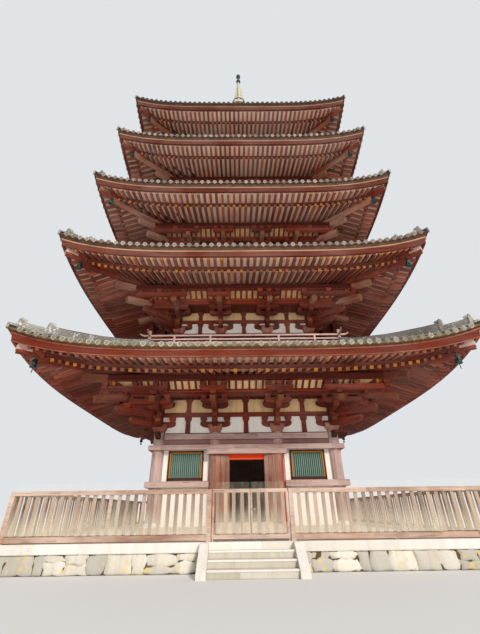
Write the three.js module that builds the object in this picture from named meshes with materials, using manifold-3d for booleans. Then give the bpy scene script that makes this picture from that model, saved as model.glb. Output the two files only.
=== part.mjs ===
// Five-storey timber pagoda on a low stone podium with a paled fence.
// Millimetres, +Z up. The origin is on the tower's axis at ground level and
// the front, with the steps and the open doorway, faces -Y.

import * as THREE from 'three';
import { mergeVertices } from 'three/addons/utils/BufferGeometryUtils.js';
import Module from 'manifold-3d';

const wasm = await Module();
wasm.setup();

// Driving dimensions
const SEAT = 0.3; // gap between pieces that rest on or against each other
const STOREY_COUNT = 5;
const STOREY_NAMES = ['first', 'second', 'third', 'fourth', 'fifth'];
const COLUMN_LINE = [3315, 2975, 2680, 2360, 2040]; // half width to the corner columns
const CENTRE_BAY_SHARE = 0.36; // centre bay's half width over the column line
const EAVE_REACH = [7520, 7175, 6795, 6485, 6165]; // half width to the roof corners
const EAVE_HEIGHT = [5720, 10010, 14060, 18030, 21750]; // tile edge at mid side
const COLUMN_HEAD = [3920, 8350, 12370, 16350, 20110];
const EAVE_RISE = 710; // how far the roof corners turn up
const RISE_POWER = 4.2;

const PODIUM_TOP = 640;
const PODIUM_HALF = 6620;
const COPING_HEIGHT = 210;
const COPING_WIDTH = 620;
const COPING_OVERHANG = 60;

const STEP_RISERS = 4;
const STEP_RUN = 760;
const STEP_HALF_WIDTH = 1060;
const CHEEK_WIDTH = 230;
const CHEEK_TOE = 130;
const CHEEK_LEVEL = 180; // level top of a cheek before it slopes
const CHEEK_BEYOND_STEPS = 110;

const FENCE_LINE = 6430;
const FENCE_HEIGHT = 1210;
const FENCE_POST = 120;
const SLIM_POST = 95; // posts between the corners look like pales
const SLIM_POST_DEPTH = 44;
const GATE_POST_X = 1105;
const RAIL_DEPTH = 80;
const TOP_RAIL_HEIGHT = 110;
const BOTTOM_RAIL_HEIGHT = 130;
const BOTTOM_RAIL_LIFT = 30;
const GATE_THICKNESS = 50;
const GATE_MEMBER = 90;
const GATE_STILE = 50;
const GATE_LIFT = 60;

const COLUMN_APOTHEM = 220; // first storey column, axis to flat
const UPPER_COLUMN_APOTHEM = 185;
const FLOOR_TOP = 860;
const BEAM_OUT = 325; // outer face of the beams beyond the column line
const TIE_HEIGHT = 240;
const TIE_DEPTH = 160;
const FACE_TIE_OUT = 270; // tie on the faces of the columns, between the corner ones
const FACE_TIE_BOTTOM = 3660;
const FACE_TIE_TOP = 3860;
const FACE_TIE_STOP = 230;
const LINTEL_BOTTOM = 3290;
const LINTEL_TOP = 3460;
const WAIST_BOTTOM = 2050;
const WAIST_TOP = 2245;
const WALL_THICKNESS = 115;
const WINDOW_BOTTOM = 2320;
const WINDOW_TOP = 3230;
const WINDOW_EDGE = 245; // from a column's face to the opening

const DOORWAY_HALF = 640;
const DOORWAY_BOTTOM = 975;
const DOORWAY_TOP = 2950;
const DOOR_FRAME_FRONT = 225; // frame's face beyond the column line
const DOOR_FRAME_DEPTH = 280;
const DOOR_HEAD_HALF = 1460;
const DOOR_HEAD_BOTTOM = 3120;
const DOOR_HEAD_OUT = 465;
const LEAF_THICKNESS = 60;
const LEAF_AXIS_X = 660;
const LEAF_AXIS_OUT = 275; // leaf axis beyond the column line
const LEAF_BACK = 20; // leaf beyond its axis
const LEAF_REACH = 655;
const LEAF_CLEAR = 10;
const PIN_RADIUS = 20;
const RIGHT_LEAF_TURN = 18; // degrees that the right leaf stands off the wall
const LEFT_LEAF_TURN = 4;

const EAVE_EDGE = [298, 368, 378, 398, 358]; // thickness of the eave's edge
const EAVE_EDGE_INSET = 170;
const EAVE_BOARD = 200; // height of the eave board under the tiles' overhang
const EAVE_BOARD_LEAN = 30;
const FLYING_SLOPE = 0.1;
const FLYING_REACH = 740; // upper tier of rafters beyond the lower tier's ends
const KNEE_DROP = 210; // lower tier's boards below the upper tier's
const BASE_SLOPE = 0.32;
const EDGE_RISE_SHARE = 0.85;
const FLYING_RISE_SHARE = 0.8;
const BASE_RISE_SHARE = 0.75;
const RAFTER_DEPTH = 130;
const PURLIN_OUT = 1750; // eave purlin beyond the column line
const PURLIN_WIDTH = 200;
const PURLIN_HEIGHT = 190;
const ARM_FOOT = 150; // foot of an arm, inside the big block on a column head
const BLOCK_HEIGHT = 300;
const STEP_ONE = 550; // bracket steps beyond the column line
const STEP_TWO = 1120;
const TAIL_REACH = 1950; // tail rafter's end beyond the column line
const TAIL_ROOT = 2.9; // tail rafter's height at the column line, in bracket steps
const TAIL_FALL = 1.64 / TAIL_REACH;
const TAIL_HALF = 100;
const RIDGE_WIDTH = 300;
const RIDGE_HEIGHT = 330;
const LOWER_RIDGE_HEIGHT = 210;
const RIDGE_BREAK = 0.76;
const RIDGE_END = 0.93;

const BALCONY_OUT = 1095; // balcony edge beyond the column line
const BALCONY_SLAB = 110;
const BALCONY_RAIL_HEIGHT = 440;
const FLAT_BEYOND_COLUMNS = 970; // flat top of a roof beyond the column line above
const ROOF_FLAT_LIFT = [1560, 1480, 1430, 1390];

const TOP_ROOF_HALF = 850;
const TOP_ROOF_TOP = 26050;
const SPIRE_TOP = 38840;
const RING_COUNT = 9;
const RING_FIRST = 28050;
const RING_LAST = 33600;

// Materials
const timber = new THREE.MeshStandardMaterial({ color: 0x7d5a4a, roughness: 0.85 });
const paleTimber = new THREE.MeshStandardMaterial({ color: 0xb39c8c, roughness: 0.9 });
const doorTimber = new THREE.MeshStandardMaterial({ color: 0x8a5a44, roughness: 0.85 });
const fenceTimber = new THREE.MeshStandardMaterial({ color: 0x9a8a7d, roughness: 0.9 });
const plaster = new THREE.MeshStandardMaterial({ color: 0xe6e2d8, roughness: 0.95 });
const tile = new THREE.MeshStandardMaterial({ color: 0x8d9190, roughness: 0.8 });
const granite = new THREE.MeshStandardMaterial({ color: 0xc4beb0, roughness: 0.9 });
const rubble = new THREE.MeshStandardMaterial({ color: 0x9b9382, roughness: 0.95 });
const bronze = new THREE.MeshStandardMaterial({ color: 0x6f7a72, roughness: 0.6, metalness: 0.8 });

const tower = new THREE.Group();

function addPiece(name, geometry, material, group = tower) {
  const mesh = new THREE.Mesh(geometry, material);
  mesh.name = name;
  group.add(mesh);
  return mesh;
}

// Shapes

function box(x0, x1, y0, y1, z0, z1) {
  const geometry = new THREE.BoxGeometry(x1 - x0, y1 - y0, z1 - z0);
  return geometry.translate((x0 + x1) / 2, (y0 + y1) / 2, (z0 + z1) / 2);
}

function turned(geometry, quarterTurns) {
  return geometry.clone().rotateZ((quarterTurns * Math.PI) / 2);
}

function squareRing(outerHalf, innerHalf, z0, z1) {
  const outline = new THREE.Shape([
    new THREE.Vector2(-outerHalf, -outerHalf),
    new THREE.Vector2(outerHalf, -outerHalf),
    new THREE.Vector2(outerHalf, outerHalf),
    new THREE.Vector2(-outerHalf, outerHalf),
  ]);
  outline.holes.push(new THREE.Path([
    new THREE.Vector2(-innerHalf, -innerHalf),
    new THREE.Vector2(-innerHalf, innerHalf),
    new THREE.Vector2(innerHalf, innerHalf),
    new THREE.Vector2(innerHalf, -innerHalf),
  ]));
  const geometry = new THREE.ExtrudeGeometry(outline, { depth: z1 - z0, bevelEnabled: false });
  return geometry.translate(0, 0, z0);
}

function column(x, y, apothem, z0, z1, sides) {
  const radius = apothem / Math.cos(Math.PI / sides);
  const geometry = new THREE.CylinderGeometry(radius, radius, z1 - z0, sides, 1);
  geometry.rotateX(Math.PI / 2).rotateZ(Math.PI / sides);
  return geometry.translate(x, y, (z0 + z1) / 2);
}

// A plate whose outline lies in a vertical plane. Outline points are
// [outward, height]; the plane holds the Z axis and the direction at angle.
function verticalPlate(points, thickness, angle, start = 0) {
  const shape = new THREE.Shape(points.map(([s, z]) => new THREE.Vector2(s, z)));
  const geometry = new THREE.ExtrudeGeometry(shape, { depth: thickness, bevelEnabled: false });
  geometry.translate(start, 0, -thickness / 2).rotateX(Math.PI / 2);
  return geometry.rotateZ(angle);
}

function turnedProfile(points, sides) {
  const profile = points.map(([radius, z]) => new THREE.Vector2(radius, z));
  return new THREE.LatheGeometry(profile, sides).rotateX(Math.PI / 2);
}

// Joins and cuts

function toSolid(geometry) {
  const bare = geometry.clone();
  bare.deleteAttribute('normal');
  bare.deleteAttribute('uv');
  const merged = mergeVertices(bare, 1e-3);
  return new wasm.Manifold(new wasm.Mesh({
    numProp: 3,
    vertProperties: new Float32Array(merged.attributes.position.array),
    triVerts: new Uint32Array(merged.index.array),
  }));
}

function toGeometry(solid) {
  const mesh = solid.asOriginal().simplify(0.05).getMesh();
  const geometry = new THREE.BufferGeometry();
  geometry.setAttribute('position', new THREE.BufferAttribute(mesh.vertProperties, mesh.numProp));
  geometry.setIndex(new THREE.BufferAttribute(mesh.triVerts, 1));
  geometry.computeVertexNormals();
  return geometry;
}

function joined(geometries) {
  return toGeometry(geometries.map(toSolid).reduce((whole, next) => whole.add(next)));
}

function cut(geometry, cutters) {
  return toGeometry(cutters.map(toSolid).reduce((whole, next) => whole.subtract(next), toSolid(geometry)));
}

// Sizes that follow from the driving dimensions

function innerColumn(storey) {
  return COLUMN_LINE[storey] * CENTRE_BAY_SHARE;
}

function columnPlaces(storey) {
  const line = COLUMN_LINE[storey];
  const inner = innerColumn(storey);
  const places = [];
  for (const along of [-line, -inner, inner]) {
    places.push([along, -line], [line, along], [-along, line], [-line, -along]);
  }
  return places;
}

function roofFlat(storey) {
  if (storey === STOREY_COUNT - 1) {
    return { half: TOP_ROOF_HALF, height: TOP_ROOF_TOP };
  }
  return {
    half: COLUMN_LINE[storey + 1] + FLAT_BEYOND_COLUMNS,
    height: EAVE_HEIGHT[storey] + ROOF_FLAT_LIFT[storey],
  };
}

// Underside of a roof: [half width, height at mid side, share of corner rise]
function soffitLevels(storey) {
  const edge = EAVE_REACH[storey] - EAVE_EDGE_INSET;
  const edgeHeight = EAVE_HEIGHT[storey] - EAVE_EDGE[storey];
  const kneeHalf = edge - FLYING_REACH;
  const flyingHeight = edgeHeight + FLYING_REACH * FLYING_SLOPE;
  const baseHeight = flyingHeight - KNEE_DROP;
  const wallHalf = COLUMN_LINE[storey] + TIE_DEPTH / 2;
  const wallHeight = baseHeight + (kneeHalf - wallHalf) * BASE_SLOPE;
  return [
    [edge, edgeHeight, EDGE_RISE_SHARE],
    [kneeHalf, flyingHeight, FLYING_RISE_SHARE],
    [kneeHalf, baseHeight, BASE_RISE_SHARE],
    [wallHalf, wallHeight, 0],
  ];
}

// Top of the eave purlin, which carries the lower tier of rafters
function purlinTop(storey) {
  const [, , knee] = soffitLevels(storey);
  return knee[1] + (knee[0] - COLUMN_LINE[storey] - PURLIN_OUT) * BASE_SLOPE - RAFTER_DEPTH;
}

// Podium, steps and fence

function podium() {
  const bed = PODIUM_TOP - COPING_HEIGHT;
  const core = PODIUM_HALF - COPING_WIDTH;
  const base = box(-1, 1, -1, 1, 0, bed);
  base.scale(PODIUM_HALF - COPING_OVERHANG, PODIUM_HALF - COPING_OVERHANG, 1);
  const middle = box(-core, core, -core, core, bed - 50, PODIUM_TOP - SEAT);
  addPiece('podium_masonry', joined([base, middle]), rubble);
  addPiece('podium_coping', squareRing(PODIUM_HALF, core + SEAT, bed + SEAT, PODIUM_TOP), granite);
}

function steps() {
  const front = -(PODIUM_HALF + SEAT);
  const rise = PODIUM_TOP / STEP_RISERS;
  const tread = STEP_RUN / (STEP_RISERS - 1);
  const points = [[0, 0]];
  for (let i = 1; i < STEP_RISERS; i += 1) {
    points.push([(i - 1) * tread, i * rise], [i * tread, i * rise]);
  }
  points.push([STEP_RUN, 0]);
  const outline = points.map(([run, height]) => [STEP_RUN - run, height]);
  const flight = verticalPlate(outline, 2 * STEP_HALF_WIDTH, -Math.PI / 2, -front);
  addPiece('front_steps', flight, granite);
  const cheekRun = STEP_RUN + CHEEK_BEYOND_STEPS;
  const cheek = [[0, 0], [cheekRun, 0], [cheekRun, CHEEK_TOE], [CHEEK_LEVEL, PODIUM_TOP], [0, PODIUM_TOP]];
  for (const [side, sign] of [['left', -1], ['right', 1]]) {
    const stone = verticalPlate(cheek, CHEEK_WIDTH, -Math.PI / 2, -front);
    stone.translate(sign * (STEP_HALF_WIDTH + SEAT + CHEEK_WIDTH / 2), 0, 0);
    addPiece(`step_cheek_${side}`, stone, granite);
  }
}

// A straight run of posts and rails along X at y = 0, from x0 to x1.
function fenceRun(x0, x1, postPlaces, slimPlaces) {
  const bottom = PODIUM_TOP + SEAT;
  const top = PODIUM_TOP + FENCE_HEIGHT;
  const half = RAIL_DEPTH / 2;
  const lift = bottom + BOTTOM_RAIL_LIFT;
  const pieces = [
    box(x0, x1, -half - 20, half + 20, top - TOP_RAIL_HEIGHT, top),
    box(x0, x1, -half, half, lift, lift + BOTTOM_RAIL_HEIGHT),
  ];
  for (const x of postPlaces) {
    const p = FENCE_POST / 2;
    pieces.push(box(x - p, x + p, -p, p, bottom, top - 20));
  }
  for (const x of slimPlaces) {
    const [w, d] = [SLIM_POST / 2, SLIM_POST_DEPTH / 2];
    pieces.push(box(x - w, x + w, -d, d, bottom, top - 20));
  }
  return joined(pieces);
}

function fence() {
  const corner = FENCE_LINE + FENCE_POST / 2;
  const middle = (FENCE_LINE + GATE_POST_X) / 2;
  const frontRun = fenceRun(-corner, -GATE_POST_X + FENCE_POST / 2, [-FENCE_LINE, -GATE_POST_X], [-middle]);
  frontRun.translate(0, -FENCE_LINE, 0);
  addPiece('fence_front_left', frontRun, fenceTimber);
  addPiece('fence_front_right', toGeometry(toSolid(frontRun).mirror([1, 0, 0])), fenceTimber);
  const bays = 5;
  const between = (2 * FENCE_LINE) / bays;
  const inner = [-1.5, -0.5, 0.5, 1.5].map((place) => place * between);
  const sideEnd = FENCE_LINE - FENCE_POST / 2 - SEAT;
  const backRun = fenceRun(-corner, corner, [-FENCE_LINE, FENCE_LINE], inner);
  addPiece('fence_back', backRun.translate(0, FENCE_LINE, 0), fenceTimber);
  for (const [side, sign] of [['left', -1], ['right', 1]]) {
    const run = fenceRun(-sideEnd, sideEnd, [], inner).rotateZ(Math.PI / 2);
    addPiece(`fence_${side}`, run.translate(sign * FENCE_LINE, 0, 0), fenceTimber);
  }
}

function gates() {
  const half = GATE_THICKNESS / 2;
  const axis = GATE_POST_X - FENCE_POST / 2 - 45;
  const outer = axis + 20;
  const low = PODIUM_TOP + GATE_LIFT;
  const high = PODIUM_TOP + FENCE_HEIGHT;
  const member = GATE_MEMBER;
  const panel = box(5, outer, -half, half, low, high);
  const opening = box(5 + GATE_STILE, outer - GATE_STILE, -100, 100, low + member, high - member);
  const pin = column(axis, 0, PIN_RADIUS, PODIUM_TOP + SEAT, low + 20, 8);
  const leaf = joined([cut(panel, [opening]), pin]);
  const right = addPiece('gate_right', leaf, fenceTimber);
  right.position.set(0, -FENCE_LINE, 0);
  const left = addPiece('gate_left', toGeometry(toSolid(leaf).mirror([1, 0, 0])), fenceTimber);
  left.position.set(0, -FENCE_LINE, 0);
}

// First storey

function firstFrame() {
  const line = COLUMN_LINE[0];
  const head = COLUMN_HEAD[0];
  const floorHalf = line + BEAM_OUT + 20;
  addPiece('first_floor', box(-floorHalf, floorHalf, -floorHalf, floorHalf, PODIUM_TOP + SEAT, FLOOR_TOP), timber);
  const pieces = columnPlaces(0).map(([x, y]) => column(x, y, COLUMN_APOTHEM, FLOOR_TOP + SEAT, head, 12));
  const tieHalf = TIE_DEPTH / 2;
  pieces.push(squareRing(line + tieHalf, line - tieHalf, head - TIE_HEIGHT, head - 20));
  const stop = line - FACE_TIE_STOP;
  const faceTie = box(-stop, stop, -line - FACE_TIE_OUT, -line - tieHalf + 10, FACE_TIE_BOTTOM, FACE_TIE_TOP);
  for (const turns of [0, 1, 2, 3]) {
    pieces.push(turned(faceTie, turns));
  }
  addPiece('first_columns', joined(pieces), paleTimber);
  const ring = squareRing(line + BEAM_OUT, line + COLUMN_APOTHEM + SEAT, LINTEL_BOTTOM + SEAT, LINTEL_TOP);
  addPiece('first_lintel_beam', ring, paleTimber);
}

function waistBeams() {
  const line = COLUMN_LINE[0];
  const outer = line + BEAM_OUT;
  const inner = line + COLUMN_APOTHEM + SEAT;
  const end = LEAF_AXIS_X + LEAF_REACH + 55;
  const corner = new THREE.Shape([
    new THREE.Vector2(-outer, -outer),
    new THREE.Vector2(-end, -outer),
    new THREE.Vector2(-end, -inner),
    new THREE.Vector2(-inner, -inner),
    new THREE.Vector2(-inner, -end),
    new THREE.Vector2(-outer, -end),
  ]);
  const depth = WAIST_TOP - WAIST_BOTTOM;
  const beam = new THREE.ExtrudeGeometry(corner, { depth, bevelEnabled: false });
  beam.translate(0, 0, WAIST_BOTTOM);
  ['front_left', 'front_right', 'back_right', 'back_left'].forEach((place, turns) => {
    addPiece(`waist_beam_${place}`, turned(beam, turns), paleTimber);
  });
}

function wallBays() {
  const line = COLUMN_LINE[0];
  const face = COLUMN_APOTHEM + SEAT;
  const x0 = innerColumn(0) + face;
  const x1 = line - face;
  const half = WALL_THICKNESS / 2;
  const top = COLUMN_HEAD[0] - TIE_HEIGHT - SEAT;
  const bay = box(x0, x1, -line - half, -line + half, FLOOR_TOP + SEAT, top);
  const opening = box(x0 + WINDOW_EDGE, x1 - WINDOW_EDGE, -line - 500, -line + 500, WINDOW_BOTTOM, WINDOW_TOP);
  const right = cut(bay, [opening]);
  const left = right.clone().translate(-(x0 + x1), 0, 0);
  ['front', 'right', 'back', 'left'].forEach((side, turns) => {
    addPiece(`wall_${side}_a`, turned(left, turns), plaster);
    addPiece(`wall_${side}_b`, turned(right, turns), plaster);
  });
}

function doorways() {
  const line = COLUMN_LINE[0];
  const side = innerColumn(0) - COLUMN_APOTHEM - SEAT;
  const top = COLUMN_HEAD[0] - TIE_HEIGHT - SEAT;
  const faceY = -line - DOOR_FRAME_FRONT;
  const backY = faceY + DOOR_FRAME_DEPTH;
  const wallY = -line + WALL_THICKNESS / 2;
  const frame = box(-side, side, faceY, backY, FLOOR_TOP + SEAT, DOOR_HEAD_BOTTOM + 40);
  const opening = box(-DOORWAY_HALF, DOORWAY_HALF, faceY - 50, backY + 50, DOORWAY_BOTTOM, DOORWAY_TOP);
  const over = box(-side, side, wallY - WALL_THICKNESS, wallY, DOOR_HEAD_BOTTOM, top);
  const proud = -line - COLUMN_APOTHEM - 0.7;
  const outY = -line - DOOR_HEAD_OUT;
  const head = box(-DOOR_HEAD_HALF, DOOR_HEAD_HALF, outY, proud, DOOR_HEAD_BOTTOM, LINTEL_BOTTOM);
  const stepY = -line - LEAF_AXIS_OUT - 60;
  const foot = box(-DOOR_HEAD_HALF, DOOR_HEAD_HALF, stepY, proud, FLOOR_TOP + SEAT, DOORWAY_BOTTOM);
  const openFrame = joined([cut(frame, [opening]), over, head, foot]);
  addPiece('front_doorway', openFrame, timber);
  const leafY = -line - LEAF_AXIS_OUT;
  const shut = box(
    -side + 200, side - 200, leafY - LEAF_THICKNESS / 2, faceY + 20, DOORWAY_BOTTOM - 20, DOOR_HEAD_BOTTOM + 20,
  );
  const closedFrame = joined([frame, over, head, foot, shut]);
  ['right', 'back', 'left'].forEach((name, turns) => {
    addPiece(`${name}_doorway`, turned(closedFrame, turns + 1), timber);
  });
}

// A leaf is modelled folded back along +X from its axis, then turned.
function doorLeaves() {
  const half = LEAF_THICKNESS / 2;
  const low = DOORWAY_BOTTOM + LEAF_CLEAR;
  const high = DOOR_HEAD_BOTTOM - LEAF_CLEAR;
  const board = box(-LEAF_BACK, LEAF_REACH, -half, half, low, high);
  const pin = column(0, 0, PIN_RADIUS, DOORWAY_BOTTOM + SEAT, DOOR_HEAD_BOTTOM - SEAT, 8);
  const leaf = joined([board, pin]);
  const y = -COLUMN_LINE[0] - LEAF_AXIS_OUT;
  const right = addPiece('front_door_right', leaf, doorTimber);
  right.position.set(LEAF_AXIS_X, y, 0);
  right.rotation.z = -THREE.MathUtils.degToRad(RIGHT_LEAF_TURN);
  const mirrored = toGeometry(toSolid(leaf).mirror([1, 0, 0]));
  const left = addPiece('front_door_left', mirrored, doorTimber);
  left.position.set(-LEAF_AXIS_X, y, 0);
  left.rotation.z = THREE.MathUtils.degToRad(LEFT_LEAF_TURN);
}

// Bracket course: wall ring, big blocks, stepped arms, eave purlin, hip rafters

// An arm's outline steps out over the wall in two steps, then carries a
// tail rafter that slopes down past the purlin. Stretch widens it along a diagonal.
function armOutline(storey, stretch = 1) {
  const head = COLUMN_HEAD[storey];
  const top = purlinTop(storey) - 60;
  const z = head + BLOCK_HEIGHT;
  const step = (purlinTop(storey) - PURLIN_HEIGHT - z) / 3;
  const start = -TIE_DEPTH / 2;
  const tail = (out) => z + (TAIL_ROOT - TAIL_FALL * out) * step;
  return [
    [start, head + SEAT], [ARM_FOOT, head + SEAT], [ARM_FOOT + 20, head + 160], [ARM_FOOT + 90, head + 230],
    [STEP_ONE * stretch, z + 40], [STEP_ONE * stretch, z + 0.85 * step],
    [STEP_TWO * stretch, z + 1.2 * step], [STEP_TWO * stretch, tail(STEP_TWO) - TAIL_HALF],
    [TAIL_REACH * stretch, tail(TAIL_REACH) - TAIL_HALF], [TAIL_REACH * stretch, tail(TAIL_REACH) + TAIL_HALF],
    [(PURLIN_OUT - 100) * stretch, tail(PURLIN_OUT - 100) + TAIL_HALF], [(PURLIN_OUT - 100) * stretch, top],
    [start, top],
  ];
}

function bracketCourse(storey) {
  const line = COLUMN_LINE[storey];
  const head = COLUMN_HEAD[storey];
  const half = TIE_DEPTH / 2;
  const wallTop = soffitLevels(storey)[3][1] - SEAT;
  const pieces = [squareRing(line + half, line - half, head + SEAT, wallTop)];
  const outline = armOutline(storey);
  const inner = innerColumn(storey);
  for (let turn = 0; turn < 4; turn += 1) {
    for (const along of [-line, -inner, inner, line]) {
      const arm = verticalPlate(outline, 170, -Math.PI / 2, line);
      pieces.push(turned(arm.translate(along, 0, 0), turn));
    }
    const diagonal = armOutline(storey, Math.SQRT2);
    pieces.push(verticalPlate(diagonal, 190, -Math.PI / 4 + (turn * Math.PI) / 2, line * Math.SQRT2));
    pieces.push(hipRafter(storey, -Math.PI / 4 + (turn * Math.PI) / 2));
  }
  const purlin = line + PURLIN_OUT;
  const top = purlinTop(storey);
  const purlinHalf = PURLIN_WIDTH / 2;
  pieces.push(squareRing(purlin + purlinHalf, purlin - purlinHalf, top - PURLIN_HEIGHT, top));
  addPiece(`${STOREY_NAMES[storey]}_brackets`, joined(pieces), timber);
}

// A hip rafter in two tiers, under the two tiers of boards.
function hipRafter(storey, angle) {
  const [edge, flying, base, wall] = soffitLevels(storey);
  const at = ([half, height, share], out, drop) => [(half + out) * Math.SQRT2, height + share * EAVE_RISE - drop];
  const points = [
    at(wall, -250, 330), at(base, 120, 300), at(flying, 120, 340), at(edge, -150, 360),
    at(edge, -150, 100), at(flying, 40, 100), at(base, 40, 120), at(wall, -250, 70),
  ];
  return verticalPlate(points, 210, angle);
}

// Roof: square rings of points from the flat top out to the eave and back
// under it. Every ring rises towards its corners.
function roof(storey) {
  const flat = roofFlat(storey);
  const reach = EAVE_REACH[storey];
  const eave = EAVE_HEIGHT[storey];
  const levels = [];
  const bands = 3;
  const steepness = storey === STOREY_COUNT - 1 ? 0.4 : 0.22;
  for (let i = 0; i <= bands; i += 1) {
    const out = i / bands;
    const inward = 1 - out;
    const climb = inward * (1 - steepness) + inward * inward * steepness;
    levels.push([
      flat.half + (reach - flat.half) * out,
      eave + (flat.height - eave) * climb,
      out ** 1.8,
    ]);
  }
  const [edge, ...soffit] = soffitLevels(storey);
  const [edgeHalf, edgeHeight, edgeShare] = edge;
  levels.push([edgeHalf + EAVE_BOARD_LEAN, edgeHeight + EAVE_BOARD, 0.95], [edgeHalf, edgeHeight, edgeShare], ...soffit);
  const stations = [-1, -0.88, -0.75, -0.6, -0.4, 0, 0.4, 0.6, 0.75, 0.88];
  const ringSize = 4 * stations.length;
  const positions = [];
  for (const [half, height, share] of levels) {
    for (let side = 0; side < 4; side += 1) {
      const turn = (side * Math.PI) / 2;
      for (const t of stations) {
        const x = t * half;
        const y = -half;
        const z = height + share * EAVE_RISE * Math.abs(t) ** RISE_POWER;
        positions.push(x * Math.cos(turn) - y * Math.sin(turn), x * Math.sin(turn) + y * Math.cos(turn), z);
      }
    }
  }
  const indices = [];
  for (let level = 0; level + 1 < levels.length; level += 1) {
    for (let k = 0; k < ringSize; k += 1) {
      const next = (k + 1) % ringSize;
      const a = level * ringSize + k;
      const b = level * ringSize + next;
      indices.push(a, a + ringSize, b, b, a + ringSize, b + ringSize);
    }
  }
  const topCentre = positions.length / 3;
  positions.push(0, 0, levels[0][1]);
  const bottomCentre = topCentre + 1;
  positions.push(0, 0, levels[levels.length - 1][1]);
  const last = (levels.length - 1) * ringSize;
  for (let k = 0; k < ringSize; k += 1) {
    const next = (k + 1) % ringSize;
    indices.push(topCentre, k, next);
    indices.push(bottomCentre, last + next, last + k);
  }
  const shell = new THREE.BufferGeometry();
  shell.setAttribute('position', new THREE.Float32BufferAttribute(positions, 3));
  shell.setIndex(indices);
  const pieces = [shell];
  const topHeight = (share) => {
    const inward = 1 - share;
    const climb = inward * (1 - steepness) + inward * inward * steepness;
    return eave + (flat.height - eave) * climb + EAVE_RISE * share ** 1.8;
  };
  const diagonalAt = (share) => (flat.half + (reach - flat.half) * share) * Math.SQRT2;
  const clearOfBalcony = (BALCONY_OUT - FLAT_BEYOND_COLUMNS + 20) / (reach - flat.half);
  const along = [clearOfBalcony, 0.4, RIDGE_BREAK];
  const upper = [
    ...along.map((share) => [diagonalAt(share), topHeight(share) - 60]),
    ...along.slice().reverse().map((share) => [diagonalAt(share), topHeight(share) + RIDGE_HEIGHT]),
  ];
  const outerAlong = [RIDGE_BREAK - 0.05, 0.85, RIDGE_END];
  const lower = [
    ...outerAlong.map((share) => [diagonalAt(share), topHeight(share) - 60]),
    ...outerAlong.slice().reverse().map((share) => [diagonalAt(share), topHeight(share) + LOWER_RIDGE_HEIGHT]),
  ];
  for (let turn = 0; turn < 4; turn += 1) {
    const angle = -Math.PI / 4 + (turn * Math.PI) / 2;
    pieces.push(verticalPlate(upper, RIDGE_WIDTH, angle), verticalPlate(lower, RIDGE_WIDTH * 0.8, angle));
  }
  addPiece(`${STOREY_NAMES[storey]}_roof`, joined(pieces), tile);
}

// Upper storeys: a hollow square body with engaged columns, and its balcony

function upperBody(storey) {
  const line = COLUMN_LINE[storey];
  const base = roofFlat(storey - 1).height + SEAT;
  const head = COLUMN_HEAD[storey];
  const half = WALL_THICKNESS / 2;
  const pieces = [squareRing(line + half, line - half, base, head)];
  for (const [x, y] of columnPlaces(storey)) {
    pieces.push(column(x, y, UPPER_COLUMN_APOTHEM, base, head, 8));
  }
  addPiece(`${STOREY_NAMES[storey]}_storey`, joined(pieces), timber);
}

function balcony(storey) {
  const line = COLUMN_LINE[storey];
  const outer = line + BALCONY_OUT;
  const base = roofFlat(storey - 1).height + SEAT;
  const slabTop = base + BALCONY_SLAB;
  const rail = outer - 45;
  const top = slabTop + BALCONY_RAIL_HEIGHT;
  const pieces = [squareRing(outer, line + 300, base, slabTop)];
  const long = rail + 240;
  const postLine = rail;
  for (let turn = 0; turn < 4; turn += 1) {
    pieces.push(turned(box(-long, long, -rail - 35, -rail + 35, top - 70, top), turn));
    for (const place of [-1, -innerColumn(storey) / line, innerColumn(storey) / line]) {
      const x = place * postLine;
      pieces.push(turned(box(x - 40, x + 40, -rail - 40, -rail + 40, slabTop - 10, top - 10), turn));
    }
  }
  addPiece(`${STOREY_NAMES[storey]}_balcony`, joined(pieces), timber);
}

// Spire

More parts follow.
